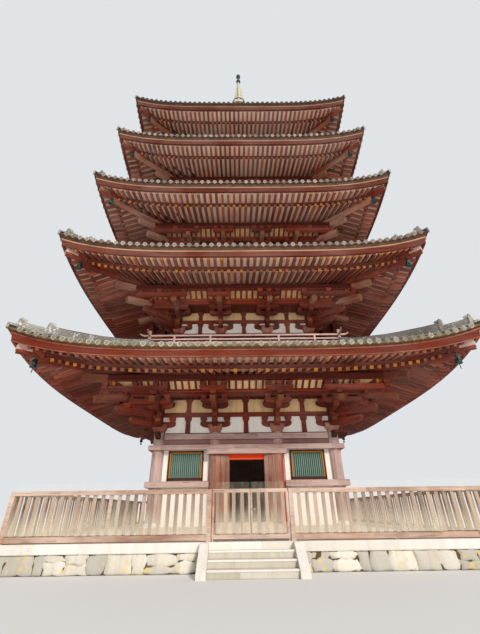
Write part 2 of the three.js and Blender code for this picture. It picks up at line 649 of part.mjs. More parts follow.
function spire() {
  const base = TOP_ROOF_TOP + SEAT;
  const pieces = [
    box(-740, 740, -740, 740, base, base + 520),
    box(-830, 830, -830, 830, base + 500, base + 610),
    turnedProfile([[0, base + 600], [640, base + 600], [600, base + 850], [430, base + 1060], [0, base + 1130]], 16),
    turnedProfile([[0, base + 1050], [330, base + 1100], [520, base + 1200], [760, base + 1370],
      [720, base + 1420], [0, base + 1420]], 16),
  ];
  addPiece('spire_base', joined(pieces), bronze);
  const mastBase = base + 1420 + SEAT;
  const mastTop = SPIRE_TOP - 1700;
  const mastRadius = (z) => 150 - (55 * (z - mastBase)) / (mastTop - mastBase);
  const mast = [turnedProfile([[0, mastBase], [150, mastBase], [95, mastTop], [0, mastTop]], 8)];
  const pitch = (RING_LAST - RING_FIRST) / (RING_COUNT - 1);
  for (let i = 0; i < RING_COUNT; i += 1) {
    const z = RING_FIRST + i * pitch;
    const radius = 840 - i * 34;
    mast.push(turnedProfile([
      [radius - 110, z - 60], [radius, z - 60], [radius, z + 60], [radius - 110, z + 60], [radius - 110, z - 60],
    ], 12));
    mast.push(turned(box(-radius + 70, radius - 70, -35, 35, z - 30, z + 30), i));
  }
  addPiece('spire_mast_and_rings', joined(mast), bronze);
  const flameBase = 34500;
  const flame = [
    [96, flameBase], [300, flameBase + 60], [370, flameBase + 420], [280, flameBase + 560], [400, flameBase + 900],
    [230, flameBase + 1150], [290, flameBase + 1500], [150, flameBase + 1800], [170, flameBase + 2100], [80, flameBase + 2260],
  ];
  const blades = [];
  for (let turn = 0; turn < 4; turn += 1) {
    blades.push(verticalPlate(flame, 40, (turn * Math.PI) / 2));
  }
  const hub = turnedProfile([[110, flameBase - 30], [185, flameBase - 30], [185, flameBase + 300],
    [150, flameBase + 2260], [99, flameBase + 2260], [110, flameBase - 30]], 8);
  const [below, above] = [flameBase - 100, flameBase + 2400];
  const socket = [[0, below], [mastRadius(below) + SEAT, below], [mastRadius(above) + SEAT, above], [0, above]];
  addPiece('spire_flame', cut(joined([hub, ...blades]), [turnedProfile(socket, 8)]), bronze);
  const ball = mastTop + SEAT;
  const jewel = [
    [0, ball], [90, ball], [90, ball + 60], [205, ball + 190], [205, ball + 310], [90, ball + 440], [60, ball + 520],
    [60, ball + 960], [110, ball + 1000], [205, ball + 1130], [195, ball + 1270], [90, ball + 1440], [0, SPIRE_TOP],
  ];
  addPiece('spire_jewels', turnedProfile(jewel, 12), bronze);
}

podium();
steps();
fence();
gates();
firstFrame();
waistBeams();
wallBays();
doorways();
doorLeaves();
for (let storey = 0; storey < STOREY_COUNT; storey += 1) {
  bracketCourse(storey);
  roof(storey);
  if (storey > 0) {
    upperBody(storey);
    balcony(storey);
  }
}
spire();

export default tower;
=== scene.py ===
import bpy
import numpy as np
from bpy.props import FloatProperty, FloatVectorProperty, IntProperty, PointerProperty
from mathutils import Matrix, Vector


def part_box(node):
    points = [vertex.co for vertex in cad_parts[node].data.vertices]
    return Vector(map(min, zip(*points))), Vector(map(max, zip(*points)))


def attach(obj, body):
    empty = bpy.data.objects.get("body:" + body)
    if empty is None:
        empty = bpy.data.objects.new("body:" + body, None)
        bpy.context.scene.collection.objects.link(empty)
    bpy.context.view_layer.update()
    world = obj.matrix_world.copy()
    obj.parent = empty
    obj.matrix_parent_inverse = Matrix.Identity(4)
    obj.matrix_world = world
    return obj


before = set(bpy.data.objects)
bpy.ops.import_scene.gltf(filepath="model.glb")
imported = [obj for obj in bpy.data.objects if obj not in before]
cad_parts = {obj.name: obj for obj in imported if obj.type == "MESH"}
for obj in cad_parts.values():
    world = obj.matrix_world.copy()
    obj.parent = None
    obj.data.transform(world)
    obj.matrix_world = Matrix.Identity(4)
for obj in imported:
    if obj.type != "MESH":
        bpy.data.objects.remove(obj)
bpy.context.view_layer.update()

bl_info = {
    "name": "Five-storey pagoda",
    "version": (1, 0, 0),
    "blender": (4, 5, 0),
    "location": "3D View > Sidebar > Pagoda",
    "description": "Dresses the frame of a timber pagoda with tiles, rafters, brackets, boards and finishes",
    "category": "Add Mesh",
}

STOREY_NAMES = ("first", "second", "third", "fourth", "fifth")
TOWER = "tower"

# Quarter turns about the tower's axis that a form is repeated at
ALL_SIDES = (0, 1, 2, 3)
FRONT_SIDE = (0,)
OTHER_SIDES = (1, 2, 3)

# Roofs and eaves, in metres
CORNER_RISE = 0.71
RISE_POWER = 4.2
EDGE_INSET = 0.17
EDGE_THICKNESS = (0.298, 0.368, 0.378, 0.398, 0.358)
EAVE_BOARD = 0.2
FLYING_LENGTH = 0.74
FLYING_SLOPE = 0.1
KNEE_DROP = 0.21
BASE_SLOPE = 0.32
EDGE_RISE = 0.85
FLYING_RISE = 0.8
BASE_RISE = 0.75
TOP_FLAT_HALF = 0.85
TILE_SHARE = (0.991, 0.999, 1.005, 1.03, 1.0)
RAFTER_SHARE = (1.01, 1.0, 1.055, 0.97, 1.0)
TILE_LIFT = 0.035
TILE_PAST = 0.01
RAFTER_INSET = 0.09

# Bracket courses, measured out from the column line
PURLIN_OUT = 1.75
PURLIN_HALF = 0.1
PURLIN_DROP = 0.13
PURLIN_HEIGHT = 0.19
STEP_ONE = 0.55
STEP_TWO = 1.12
TAIL_REACH = 1.95
TAIL_ROOT = 2.9
TAIL_FALL = 1.64
BLOCK_HEIGHT = 0.3
CENTRE_BAY_SHARE = 0.36
RIB_PITCH = 0.25
BOARD_JOINT = 0.006

# First storey, fence and podium
FIRST_COLUMN_RADIUS = 0.22
UPPER_COLUMN_RADIUS = 0.185
DOOR_AXIS_X = 0.66
DOOR_AXIS_OUT = 0.275
DOOR_REACH = 0.655
STILE_WIDTH = {"left": 0.014, "right": 0.05}
STILE_FINISH = {"left": "Door timber", "right": "Bright red timber"}
STUD_HEIGHTS = (1.25, 2.05, 2.85)
WINDOW_HEIGHTS = (2.32, 3.23)
FENCE_LINE = 6.43
GATE_POST_X = 1.105
STEP_RUN = 0.76
PAVING_REACH = 5.97
FLOOR_REACH = 3.5

# Rings of the spire, by the heights of the lowest and the highest
RING_COUNT = 9
RING_HEIGHTS = (28.05, 33.6)

# Heights over which painted shade darkens the upper tile ends and the clear sheet clouds, and above which the
# frame's members lie level
TILE_SHADE_HEIGHTS = (19.5, 21.5)
CLOUDING_HEIGHTS = (0.75, 1.5)
ALL_LEVEL = -1.0
LINTEL_FOOT = 3.2
ALL_UPRIGHT = 20.0

# Floor, and the camera by its turn, tilt and roll in degrees and its focal length in pixels of the frame
FLOOR_SIZE = 160.0
FLOOR_LEVEL = -0.003
CAMERA_TURNS = (0.612, 29.905, -0.775)
CAMERA_PLACE = (-0.3207, -16.7818, 1.36)
FOCAL_PIXELS = 334.38
FRAME_HEIGHT = 634
SENSOR = 36


def srgb(red, green, blue):
    """Linear colour of a screen colour given in parts of 255, by the usual power curve."""
    parts = np.array([red, green, blue]) / 255.0
    linear = np.where(parts <= 0.04045, parts / 12.92, ((parts + 0.055) / 1.055) ** 2.4)
    return tuple(float(part) for part in linear)


def size_property(label, text, value, low=0.005, high=5.0):
    return FloatProperty(name=label, description=text, default=value, min=low, max=high, unit="LENGTH")


def colour_property(label, text, value):
    return FloatVectorProperty(name=label, description=text, default=value, min=0, max=1, subtype="COLOR")


class PagodaTileSizes(bpy.types.PropertyGroup):
    pitch: size_property("Row spacing", "Distance between two rows of round tiles", 0.28)
    radius: size_property("Round tile radius", "Outer radius of a round tile", 0.088)
    length: size_property("Tile length", "Length of a tile that shows", 0.32)


class PagodaTimberSizes(bpy.types.PropertyGroup):
    rafter_pitch: size_property("Rafter spacing", "Distance between two rafters", 0.254)
    rafter_width: size_property("Rafter width", "Width of a rafter", 0.115)
    rafter_depth: size_property("Rafter depth", "Depth of a rafter", 0.1)
    arm_half: size_property("Arm half length", "Half the length of a bow-shaped bracket arm", 0.5)
    arm_height: size_property("Arm height", "Height of a bracket arm", 0.18)
    arm_thickness: size_property("Arm thickness", "Thickness of a bracket arm", 0.16)
    block_half: size_property("Small block half width", "Half width of a small bearing block", 0.112)


class PagodaJoinerySizes(bpy.types.PropertyGroup):
    pale_width: size_property("Pale width", "Width of a fence pale", 0.095)
    pale_pitch: size_property("Pale spacing", "Distance between two fence pales", 0.22)
    bar_pitch: size_property("Window bar spacing", "Distance between two bars of a window", 0.072)
    plank_width: size_property("Door plank width", "Width of a door plank", 0.165)


class PagodaStoneSizes(bpy.types.PropertyGroup):
    rubble_length: size_property("Rubble stone length", "Mean length of a stone in the podium's face", 0.5)
    coping_length: size_property("Coping stone length", "Length of a stone of the podium's edge", 1.2)
    slab: size_property("Paving slab", "Side of a paving slab on the podium", 0.6)


class PagodaColours(bpy.types.PropertyGroup):
    timber: colour_property("Timber", "Red-brown timber in good light", srgb(126, 54, 38))
    timber_dark: colour_property("Dark timber", "Red-brown timber where it is stained", srgb(72, 30, 23))
    pale_timber: colour_property("Pale timber", "Bleached timber of the first storey", srgb(174, 146, 138))
    soffit: colour_property("Eave boards", "Boards over the rafters", srgb(228, 196, 174))
    ochre: colour_property("Ochre", "Paint on the ends of arms and rafters", srgb(176, 112, 34))
    vermilion: colour_property("Vermilion", "Paint over the doorway", srgb(226, 66, 22))
    green: colour_property("Green", "Paint on the window bars", srgb(98, 124, 112))
    plaster: colour_property("Plaster", "Lime plaster of walls and panels", srgb(228, 222, 215))
    tile: colour_property("Tile", "Smoked clay tile", srgb(176, 172, 164))
    tile_dark: colour_property("Dark tile", "Tile in the joints and where it is wet", srgb(84, 80, 76))
    fence: colour_property("Fence", "Silvered timber of the fence", srgb(166, 138, 120))
    granite: colour_property("Granite", "Dressed stone of coping and steps", srgb(238, 231, 226))
    rubble: colour_property("Rubble", "Stones of the podium's face", srgb(240, 232, 216))


class PagodaStageSettings(bpy.types.PropertyGroup):
    sun: FloatProperty(name="Sun", description="Strength of the soft sun", default=3.0, min=0, max=20)
    sky: FloatProperty(name="Sky", description="Strength of the white sky", default=0.8, min=0, max=10)
    fill: FloatProperty(name="Fill", description="Power of the light that comes up from the ground",
                        default=5200, min=0)
    floor: colour_property("Floor", "Colour of the plain floor", (0.66, 0.65, 0.64))
    seed: IntProperty(name="Seed", description="Start of every random choice", default=7, min=0)


PROPERTY_GROUPS = {
    "pagoda_tiles": PagodaTileSizes,
    "pagoda_timber": PagodaTimberSizes,
    "pagoda_joinery": PagodaJoinerySizes,
    "pagoda_stones": PagodaStoneSizes,
    "pagoda_colours": PagodaColours,
    "pagoda_stage": PagodaStageSettings,
}


class Storey:
    """Sizes of one storey in metres, most of them read from the frame."""

    def __init__(self, index):
        self.index = index
        self.name = STOREY_NAMES[index]
        low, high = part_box(f"{self.name}_roof")
        self.reach = high.x
        self.edge = self.reach - EDGE_INSET
        self.edge_height = low.z + KNEE_DROP - FLYING_LENGTH * FLYING_SLOPE
        self.eave = self.edge_height + EDGE_THICKNESS[index]
        if index == 0:
            low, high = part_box("wall_front_a")
            self.line = -(low.y + high.y) / 2
            low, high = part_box("first_columns")
        else:
            low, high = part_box(f"{self.name}_storey")
            self.line = high.x - UPPER_COLUMN_RADIUS
        self.base = low.z
        self.head = high.z
        self.inner = self.line * CENTRE_BAY_SHARE
        if index == len(STOREY_NAMES) - 1:
            low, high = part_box("spire_base")
            self.flat_half = TOP_FLAT_HALF
            self.tile_top = 0.8
            self.steepness = 0.4
        else:
            low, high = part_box(f"{STOREY_NAMES[index + 1]}_balcony")
            self.flat_half = high.x - 0.32
            self.tile_top = self.flat_half + 0.145
            self.steepness = 0.22
        self.flat_height = low.z
        self.knee = self.edge - FLYING_LENGTH
        self.flying_height = self.edge_height + FLYING_LENGTH * FLYING_SLOPE
        self.base_height = self.flying_height - KNEE_DROP
        self.wall = self.line + 0.08
        self.purlin_top = self.lower_tier(self.line + PURLIN_OUT, 0) - PURLIN_DROP
        self.tile_share = TILE_SHARE[index]
        self.rafter_share = RAFTER_SHARE[index]
        self.block_top = self.head + BLOCK_HEIGHT
        self.step = (self.purlin_top - PURLIN_HEIGHT - self.block_top) / 3

    def rise(self, half, along):
        """Corner rise: a high power of the share of the way from the middle of a side to its corner."""
        return CORNER_RISE * (np.abs(along) / half) ** RISE_POWER

    def top(self, half, along):
        """Height of the tiled surface: a line and a parabola up the slope, plus the corner rise."""
        out = (half - self.flat_half) / (self.reach - self.flat_half)
        inward = 1 - out
        climb = inward * (1 - self.steepness) + inward ** 2 * self.steepness
        middle = self.eave + (self.flat_height - self.eave) * climb
        return middle + self.rise(half, along) * np.clip(out, 0, None) ** 1.8

    def upper_tier(self, half, along):
        """Height of the boards over the flying rafters: a gentle slope plus its share of the corner rise."""
        inward = self.edge - half
        share = EDGE_RISE - (EDGE_RISE - FLYING_RISE) * inward / FLYING_LENGTH
        return self.edge_height + inward * FLYING_SLOPE + share * self.rise(half, along)

    def lower_tier(self, half, along):
        """Height of the boards over the base rafters, which meet the wall level."""
        share = BASE_RISE * np.clip((half - self.wall) / (self.knee - self.wall), 0, 1.2)
        return self.base_height + (self.knee - half) * BASE_SLOPE + share * self.rise(half, along)

    def step_height(self, steps):
        """Height above the big blocks, counted in bracket steps."""
        return self.block_top + steps * self.step

    def columns(self):
        return np.array([-self.line, -self.inner, self.inner, self.line])


def storeys():
    return [Storey(index) for index in range(len(STOREY_NAMES))]


def front(along, half, height):
    """Points on the front side, from how far along it, how far out and how high they are."""
    along, half, height = np.broadcast_arrays(along, half, height)
    return np.stack([along, -half, height], -1).astype(float)


def unit(vectors):
    return vectors / np.linalg.norm(vectors, axis=-1, keepdims=True)


def level_across(along):
    """The level direction at right angles to a level one."""
    return np.array([-along[1], along[0], 0])


def grain_coordinates(corners, axis):
    """Distances along and across a member's length, measured in the plane of each face.

    The face's normal is the sum of the cross products of its neighbouring corners,
    and the member's axis is laid into the face's plane. An end face takes level axes.
    """
    following = np.roll(corners, -1, axis=1)
    normal = np.cross(corners, following).sum(1)
    length = np.linalg.norm(normal, axis=1, keepdims=True)
    normal = normal / np.maximum(length, 1e-12)
    facing = np.abs((normal * axis).sum(1))
    level = np.cross(normal, np.array([0.13, 0.07, 0.99]))
    along = np.where(facing[:, None] > 0.8, level, axis - normal * (normal * axis).sum(1)[:, None])
    along = along / np.maximum(np.linalg.norm(along, axis=1, keepdims=True), 1e-9)
    across = np.cross(normal, along)
    u = (corners * along[:, None]).sum(2)
    v = (corners * across[:, None]).sum(2)
    return np.stack([u, v], -1), facing > 0.8


class Builder:
    """Gathers copies of simple forms into one mesh.

    A form is an array of copies by corners by three, with rows of corner numbers
    for its faces. Each copy gets a random tone, and a face across the member's
    axis is marked as an end where the ends are painted. Each piece has a number
    of its own, which starts its random draws with the stage's seed.
    """

    def __init__(self, number):
        self.random = np.random.default_rng(bpy.context.scene.pagoda_stage.seed * 100 + number)
        self.points = []
        self.faces = []
        self.count = 0

    def add(self, points, face_groups, axis, painted=False, turns=ALL_SIDES):
        points = np.asarray(points, float)
        axis = unit(np.broadcast_to(np.asarray(axis, float), (len(points), 3)))
        for turn in turns:
            cosine, sine = np.cos(turn * np.pi / 2), np.sin(turn * np.pi / 2)
            spin = np.array([[cosine, sine, 0], [-sine, cosine, 0], [0, 0, 1]])
            self.place(points @ spin, face_groups, axis @ spin, painted)

    def level(self, start, end, out, height, width, depth, **options):
        """Level beams along the front side, from one place along it to another."""
        self.add(*beams(front(start, out, height), front(end, out, height), width, depth), **options)

    def upright(self, along, out, low, high, width, depth, **options):
        """Upright bars at places along the front side."""
        self.add(*beams(front(along, out, low), front(along, out, high), width, depth), **options)

    def outward(self, along, span, tier, drop, width, depth):
        """Rafters with painted ends between two distances out, their axes a drop below a tier's boards."""
        start, end = [front(along, half, tier(half, along) - drop) for half in span]
        self.add(*beams(start, end, width, depth), painted=True)

    def hip(self, out, height, width, depth, **options):
        """A beam along the diagonal, from the first of two distances out and heights to the second."""
        start, end = diagonal(out, height)
        self.add(*beams(start, end, width, depth), **options)

    def place(self, points, face_groups, axis, painted):
        copies, corners, _ = points.shape
        flat = points.reshape(-1, 3)
        tones = self.random.random(copies)
        first = (np.arange(copies) * corners)[:, None, None]
        for group in face_groups:
            group = np.asarray(group)
            rows = (first + group[None]).reshape(-1, group.shape[1])
            repeated = np.repeat(axis, len(group), axis=0)
            grain, ends = grain_coordinates(flat[rows], repeated)
            tone = np.repeat(tones, len(group))
            grain = grain + (tone * 40)[:, None, None]
            self.faces.append((rows + self.count, grain, tone, ends * float(painted)))
        self.points.append(flat)
        self.count += len(flat)

    def make(self, name, finish, slot="timber", body=TOWER, sharp=35.0):
        """Writes the gathered forms into a piece with a finish, which rides on a body of the frame."""
        points = np.concatenate(self.points)
        sizes = np.concatenate([np.full(len(rows), rows.shape[1]) for rows, _, _, _ in self.faces])
        loops = np.concatenate([rows.ravel() for rows, _, _, _ in self.faces])
        mesh = bpy.data.meshes.new(name)
        mesh.vertices.add(len(points))
        mesh.vertices.foreach_set("co", points.astype(np.float32).ravel())
        mesh.loops.add(len(loops))
        mesh.loops.foreach_set("vertex_index", loops.astype(np.int32))
        mesh.polygons.add(len(sizes))
        starts = np.concatenate([[0], np.cumsum(sizes)[:-1]])
        mesh.polygons.foreach_set("loop_start", starts.astype(np.int32))
        mesh.polygons.foreach_set("loop_total", sizes.astype(np.int32))
        layer = mesh.uv_layers.new(name="grain")
        grain = np.concatenate([values.reshape(-1, 2) for _, values, _, _ in self.faces])
        layer.data.foreach_set("uv", grain.astype(np.float32).ravel())
        for column, label in ((2, "tone"), (3, "end")):
            attribute = mesh.attributes.new(label, "FLOAT", "FACE")
            values = np.concatenate([face[column] for face in self.faces])
            attribute.data.foreach_set("value", values.astype(np.float32))
        mesh.update(calc_edges=True)
        mesh.shade_smooth()
        mesh.set_sharp_from_angle(angle=np.radians(sharp))
        mesh.materials.append(made_finish(finish))
        piece = link(name, mesh)
        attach(piece, body)


def link(name, data):
    made = bpy.data.objects.new(name, data)
    bpy.context.scene.collection.objects.link(made)
    return made


def made_finish(name):
    found = bpy.data.materials.get(name)
    if found is None:
        raise RuntimeError(f"the finish {name} isn't made yet: run the finishes first")
    return found


def prism_faces(corners, rings, capped=True):
    """Faces of a form made of rings of corners that are joined one to the next, and its two end caps."""
    ring = np.arange(corners)
    following = np.roll(ring, -1)
    starts = np.arange(rings - 1)[:, None] * corners
    sides = [starts + following, starts + ring, starts + corners + ring, starts + corners + following]
    quads = np.stack(sides, -1).reshape(-1, 4)
    if not capped:
        return [quads]
    return [quads, np.array([ring, (rings - 1) * corners + ring[::-1]])]


def open_faces(corners, rings):
    """Faces between open rows of corners, such as half a tube."""
    ring = np.arange(corners - 1)
    starts = np.arange(rings - 1)[:, None] * corners
    sides = [starts + ring + 1, starts + ring, starts + corners + ring, starts + corners + ring + 1]
    return [np.stack(sides, -1).reshape(-1, 4)]


def beams(start, end, width, height):
    """Straight beams: a rectangle of the given width and height, carried from each start to its end."""
    start, end = np.broadcast_arrays(np.atleast_2d(start), np.atleast_2d(end))
    direction = unit(end - start)
    reference = np.where(np.abs(direction[:, 2:]) > 0.95, [[0, 1, 0]], [[0, 0, 1]])
    side = unit(np.cross(direction, reference))
    up = np.cross(side, direction)
    width = np.broadcast_to(width, len(start))[:, None] / 2
    height = np.broadcast_to(height, len(start))[:, None] / 2
    right, top = side * width, up * height
    ring = np.stack([-right - top, right - top, right + top, -right + top], 1)
    points = np.concatenate([start[:, None] + ring, end[:, None] + ring], 1)
    return points, prism_faces(4, 2), direction


def plates(outline, centres, along, thickness):
    """Plates: an outline of distances along and up, carried straight through the plate's thickness."""
    outline = np.asarray(outline, float)
    if outline.ndim == 2:
        outline = outline[None]
    centres = np.atleast_2d(centres)
    along = unit(np.asarray(along, float))
    flat = centres[:, None] + outline[..., :1] * along + outline[..., 1:] * np.array([0, 0, 1.0])
    half = level_across(along) * thickness / 2
    return np.concatenate([flat - half, flat + half], 1), prism_faces(outline.shape[1], 2), along


def mirrored(right):
    """A closed outline from its right half, which runs up from the foot to the top."""
    left = [(-x, z) for x, z in right]
    return left[:1] + right + left[:0:-1]


def bow_arms(centres, half, height, along, thickness):
    """Bow-shaped arms: flat on top, with the underside rounded up towards both ends."""
    centres = np.atleast_2d(centres)
    half = np.broadcast_to(half, len(centres))[:, None]
    inset = np.array([0.24, 0.24, 0.14, 0.06, 0.0, 0.0, 0.0, 0.0, 0.06, 0.14])
    sign = np.array([-1, 1, 1, 1, 1, 1, -1, -1, -1, -1])
    level = np.array([0, 0, 0.07, 0.22, 0.45, 1, 1, 0.45, 0.22, 0.07]) * height
    outline = np.stack([sign * (half - inset), np.broadcast_to(level, (len(centres), 10))], -1)
    return plates(outline, centres, along, thickness)


SQUARE = np.array([[-1, -1], [-1, 1], [1, 1], [1, -1]], float)


def stacks(centres, levels, along=(1.0, 0.0, 0.0)):
    """Blocks built up of square rings: each level gives a half width and a height."""
    centres = np.atleast_2d(centres)
    along = unit(np.asarray(along, float))
    levels = np.asarray(levels, float)
    flat = SQUARE[:, :1] * along + SQUARE[:, 1:] * level_across(along)
    rings = levels[:, None, :1] * flat[None] + levels[:, None, 1:] * np.array([0, 0, 1.0])
    points = centres[:, None] + rings.reshape(-1, 3)[None]
    return points, prism_faces(4, len(levels)), (0, 0, 1)


def slabs(centres, half_x, half_y, bottom, top, chamfer):
    """Level slabs with their edges taken off, from rings that step in by the chamfer at both faces."""
    centres = np.atleast_2d(centres)
    half_x = np.broadcast_to(half_x, len(centres))[:, None]
    half_y = np.broadcast_to(half_y, len(centres))[:, None]
    rings = []
    for inset, height in ((chamfer, bottom), (0, bottom + chamfer), (0, top - chamfer), (chamfer, top)):
        x = centres[:, :1] + SQUARE[:, 0] * (half_x - inset)
        y = centres[:, 1:2] + SQUARE[:, 1] * (half_y - inset)
        rings.append(np.stack([x, y, np.broadcast_to(height, x.shape)], -1))
    return np.concatenate(rings, 1), prism_faces(4, 4), (1, 0, 0)


def rounds(profile, segments, centres, axis=(0.0, 0.0, 1.0)):
    """Turned forms: each profile point gives a radius and a distance along the axis."""
    centres = np.atleast_2d(centres)
    axis = unit(np.asarray(axis, float))
    reference = np.array([1.0, 0, 0]) if abs(axis[2]) > 0.9 else np.array([0, 0, 1.0])
    side = unit(np.cross(reference, axis))
    up = np.cross(axis, side)
    angle = -2 * np.pi * np.arange(segments) / segments
    circle = np.cos(angle)[:, None] * side + np.sin(angle)[:, None] * up
    profile = np.asarray(profile, float)
    rings = profile[:, None, :1] * circle[None] + profile[:, None, 1:] * axis
    points = centres[:, None] + rings.reshape(-1, 3)[None]
    return points, prism_faces(segments, len(profile)), axis


def side_sweep(profile, stations=29):
    """A profile carried along the front side of a square ring.

    A profile point is how far out it is, its height at mid side and its share of
    the corner rise. Stations crowd towards the corners as a sine does, and each
    point's place along the side is the station's share of its own distance out,
    so that neighbouring sides meet in a mitre.
    """
    profile = np.asarray(profile, float)
    share = np.sin(np.linspace(-np.pi / 2, np.pi / 2, stations))[:, None]
    along = share * profile[None, :, 0]
    height = profile[None, :, 1] + profile[None, :, 2] * CORNER_RISE * np.abs(share) ** RISE_POWER
    points = front(along, profile[None, :, 0], height)
    return points.reshape(1, -1, 3), prism_faces(len(profile), stations, capped=False), (1, 0, 0)


def side_sheet(share, half, height, axis=(0, 1, 0)):
    """An open sheet along the front side: rows at the given distances out, each drawn to its own length."""
    points = front(share[:, None] * half, half, height)
    return points.reshape(1, -1, 3), open_faces(len(half), len(share)), axis


def half_tubes(x, outer, inner, storey, radius_outer, radius_inner):
    """Round tiles: half a ring at each end of a tile, standing on the roof's surface."""
    angle = np.linspace(0, np.pi, 7)
    rings = []
    for half, radius in ((outer, radius_outer), (inner, radius_inner)):
        height = storey.top(half, x) + TILE_LIFT
        rings.append(front(x[:, None] + radius * np.cos(angle), half[:, None],
                           height[:, None] + radius * np.sin(angle)))
    return np.concatenate(rings, 1), open_faces(7, 2), (0, 1, 0)


def pan_tiles(x, outer, inner, storey, half_width):
    """Flat tiles: a shallow trough between two rows of round tiles, its lower end lifted over the next."""
    offset = np.array([1.0, 0.4, -0.4, -1.0]) * half_width
    sag = np.array([0.012, -0.012, -0.012, 0.012])
    rings = []
    for half, lift in ((outer, 0.014), (inner, 0.0)):
        height = storey.top(half, x) + TILE_LIFT - 0.004 + lift
        rings.append(front(x[:, None] + offset, half[:, None], height[:, None] + sag))
    return np.concatenate(rings, 1), open_faces(4, 2), (0, 1, 0)


def tile_places(storey, row, length):
    """Every tile of the given rows: its row, its outer end and its inner end.

    The rows end at the hip or at the storey above.
    """
    courses = int((storey.reach - storey.tile_top) / length) + 2
    x, outer = np.meshgrid(row, storey.reach + TILE_PAST - np.arange(courses) * length, indexing="ij")
    x, outer = x.ravel(), outer.ravel()
    limit = np.maximum(storey.tile_top, np.abs(x) + 0.08)
    keep = outer - limit > 0.05
    inner = np.maximum(outer[keep] - length - 0.02, limit[keep])
    return x[keep], outer[keep], inner


def centred_rows(reach, pitch, between=False):
    """Places along a side at an even pitch, about its middle or half a pitch off it."""
    count = int(reach / pitch)
    if between:
        return np.arange(-count, count + 1) * pitch
    return (np.arange(-count, count) + 0.5) * pitch


def cut_at_hip(rows, inner, limit):
    """The rows that fit between the hip and a limit, and how far out each one begins."""
    inner = np.maximum(inner, np.abs(rows) + 0.11)
    keep = limit - inner > 0.1
    return rows[keep], inner[keep]


def boards_between(start, end, count):
    """Middles and width of boards laid side by side, with a narrow joint between them."""
    edges = np.linspace(start, end, count + 1)
    return (edges[1:] + edges[:-1]) / 2, edges[1] - edges[0] - BOARD_JOINT


def diagonal(out, height, lateral=0.0):
    """Points on the front right diagonal, from the half width of the square they stand on."""
    out, height, lateral = np.broadcast_arrays(out, height, lateral)
    root = lateral / np.sqrt(2)
    return np.stack([out + root, -out + root, height], -1).astype(float)


DIAGONAL = np.array([1.0, -1.0, 0.0]) / np.sqrt(2)


class Graph:
    """Adds nodes to a node tree and feeds their inputs with values or with other nodes' outputs."""

    def __init__(self, tree):
        self.tree = tree

    def feed(self, socket, value):
        if isinstance(value, bpy.types.NodeSocket):
            self.tree.links.new(value, socket)
        elif value is not None:
            socket.default_value = value

    def node(self, kind, inputs=None, **settings):
        made = self.tree.nodes.new(f"ShaderNode{kind}")
        for key, value in settings.items():
            setattr(made, key, value)
        for key, value in (inputs or {}).items():
            self.feed(made.inputs[key], value)
        return made

    def math(self, operation, first, second=0.5):
        return self.node("Math", {0: first, 1: second}, operation=operation).outputs[0]

    def times(self, first, second):
        return self.math("MULTIPLY", first, second)

    def plus(self, first, second):
        return self.math("ADD", first, second)

    def mix(self, share, first, second):
        return self.node("Mix", {0: share, 6: first, 7: second}, data_type="RGBA").outputs[2]

    def blend(self, share, first, second):
        return self.node("Mix", {0: share, 2: first, 3: second}, data_type="FLOAT").outputs[0]

    def range(self, value, low, high, to_low=0.0, to_high=1.0):
        inputs = {0: value, 1: low, 2: high, 3: to_low, 4: to_high}
        return self.node("MapRange", inputs, interpolation_type="SMOOTHSTEP").outputs[0]

    def noise(self, vector, scale, detail=3.0, roughness=0.55):
        inputs = {"Vector": vector, "Scale": scale, "Detail": detail, "Roughness": roughness}
        return self.node("TexNoise", inputs).outputs[0]

    def combine(self, x, y, z):
        return self.node("CombineXYZ", {0: x, 1: y, 2: z}).outputs[0]

    def separate(self, vector):
        return self.node("SeparateXYZ", {0: vector}).outputs[:3]

    def group(self, name, **inputs):
        labels = {key.replace("_", " ").capitalize(): value for key, value in inputs.items()}
        return self.node("Group", labels, node_tree=bpy.data.node_groups[name]).outputs


def new_group(name, inputs, outputs):
    """A shader node group, and the graph, inputs and outputs to fill it.

    An input is a number with its default, or a vector where that is None. Outputs are numbers.
    """
    tree = bpy.data.node_groups.new(name, "ShaderNodeTree")
    for label, value in inputs.items():
        kind = "NodeSocketVector" if value is None else "NodeSocketFloat"
        socket = tree.interface.new_socket(name=label, in_out="INPUT", socket_type=kind)
        if value is not None:
            socket.default_value = value
    for label in outputs:
        tree.interface.new_socket(name=label, in_out="OUTPUT", socket_type="NodeSocketFloat")
    return Graph(tree), tree.nodes.new("NodeGroupInput").outputs, tree.nodes.new("NodeGroupOutput").inputs


def make_member_group():
    """Member coordinates of the frame's own timbers, from their place: upright, or level round a square."""
    inputs = {"Position": None, "Level above": 0.0}
    graph, given, result = new_group("Member coordinates", inputs, ("Along", "Across", "Number"))
    x, y, z = graph.separate(given["Position"])
    side = graph.math("GREATER_THAN", graph.math("ABSOLUTE", y), graph.math("ABSOLUTE", x))
    level = graph.math("GREATER_THAN", z, given["Level above"])
    level_across = graph.plus(graph.blend(side, x, y), z)
    upright_across = graph.plus(x, graph.times(y, 1.3))
    bay = graph.math("ROUND", graph.times(x, 1.1))
    graph.feed(result["Along"], graph.blend(level, z, graph.blend(side, y, x)))
    graph.feed(result["Across"], graph.blend(level, upright_across, level_across))
    graph.feed(result["Number"], graph.plus(graph.times(side, 3.7), bay))


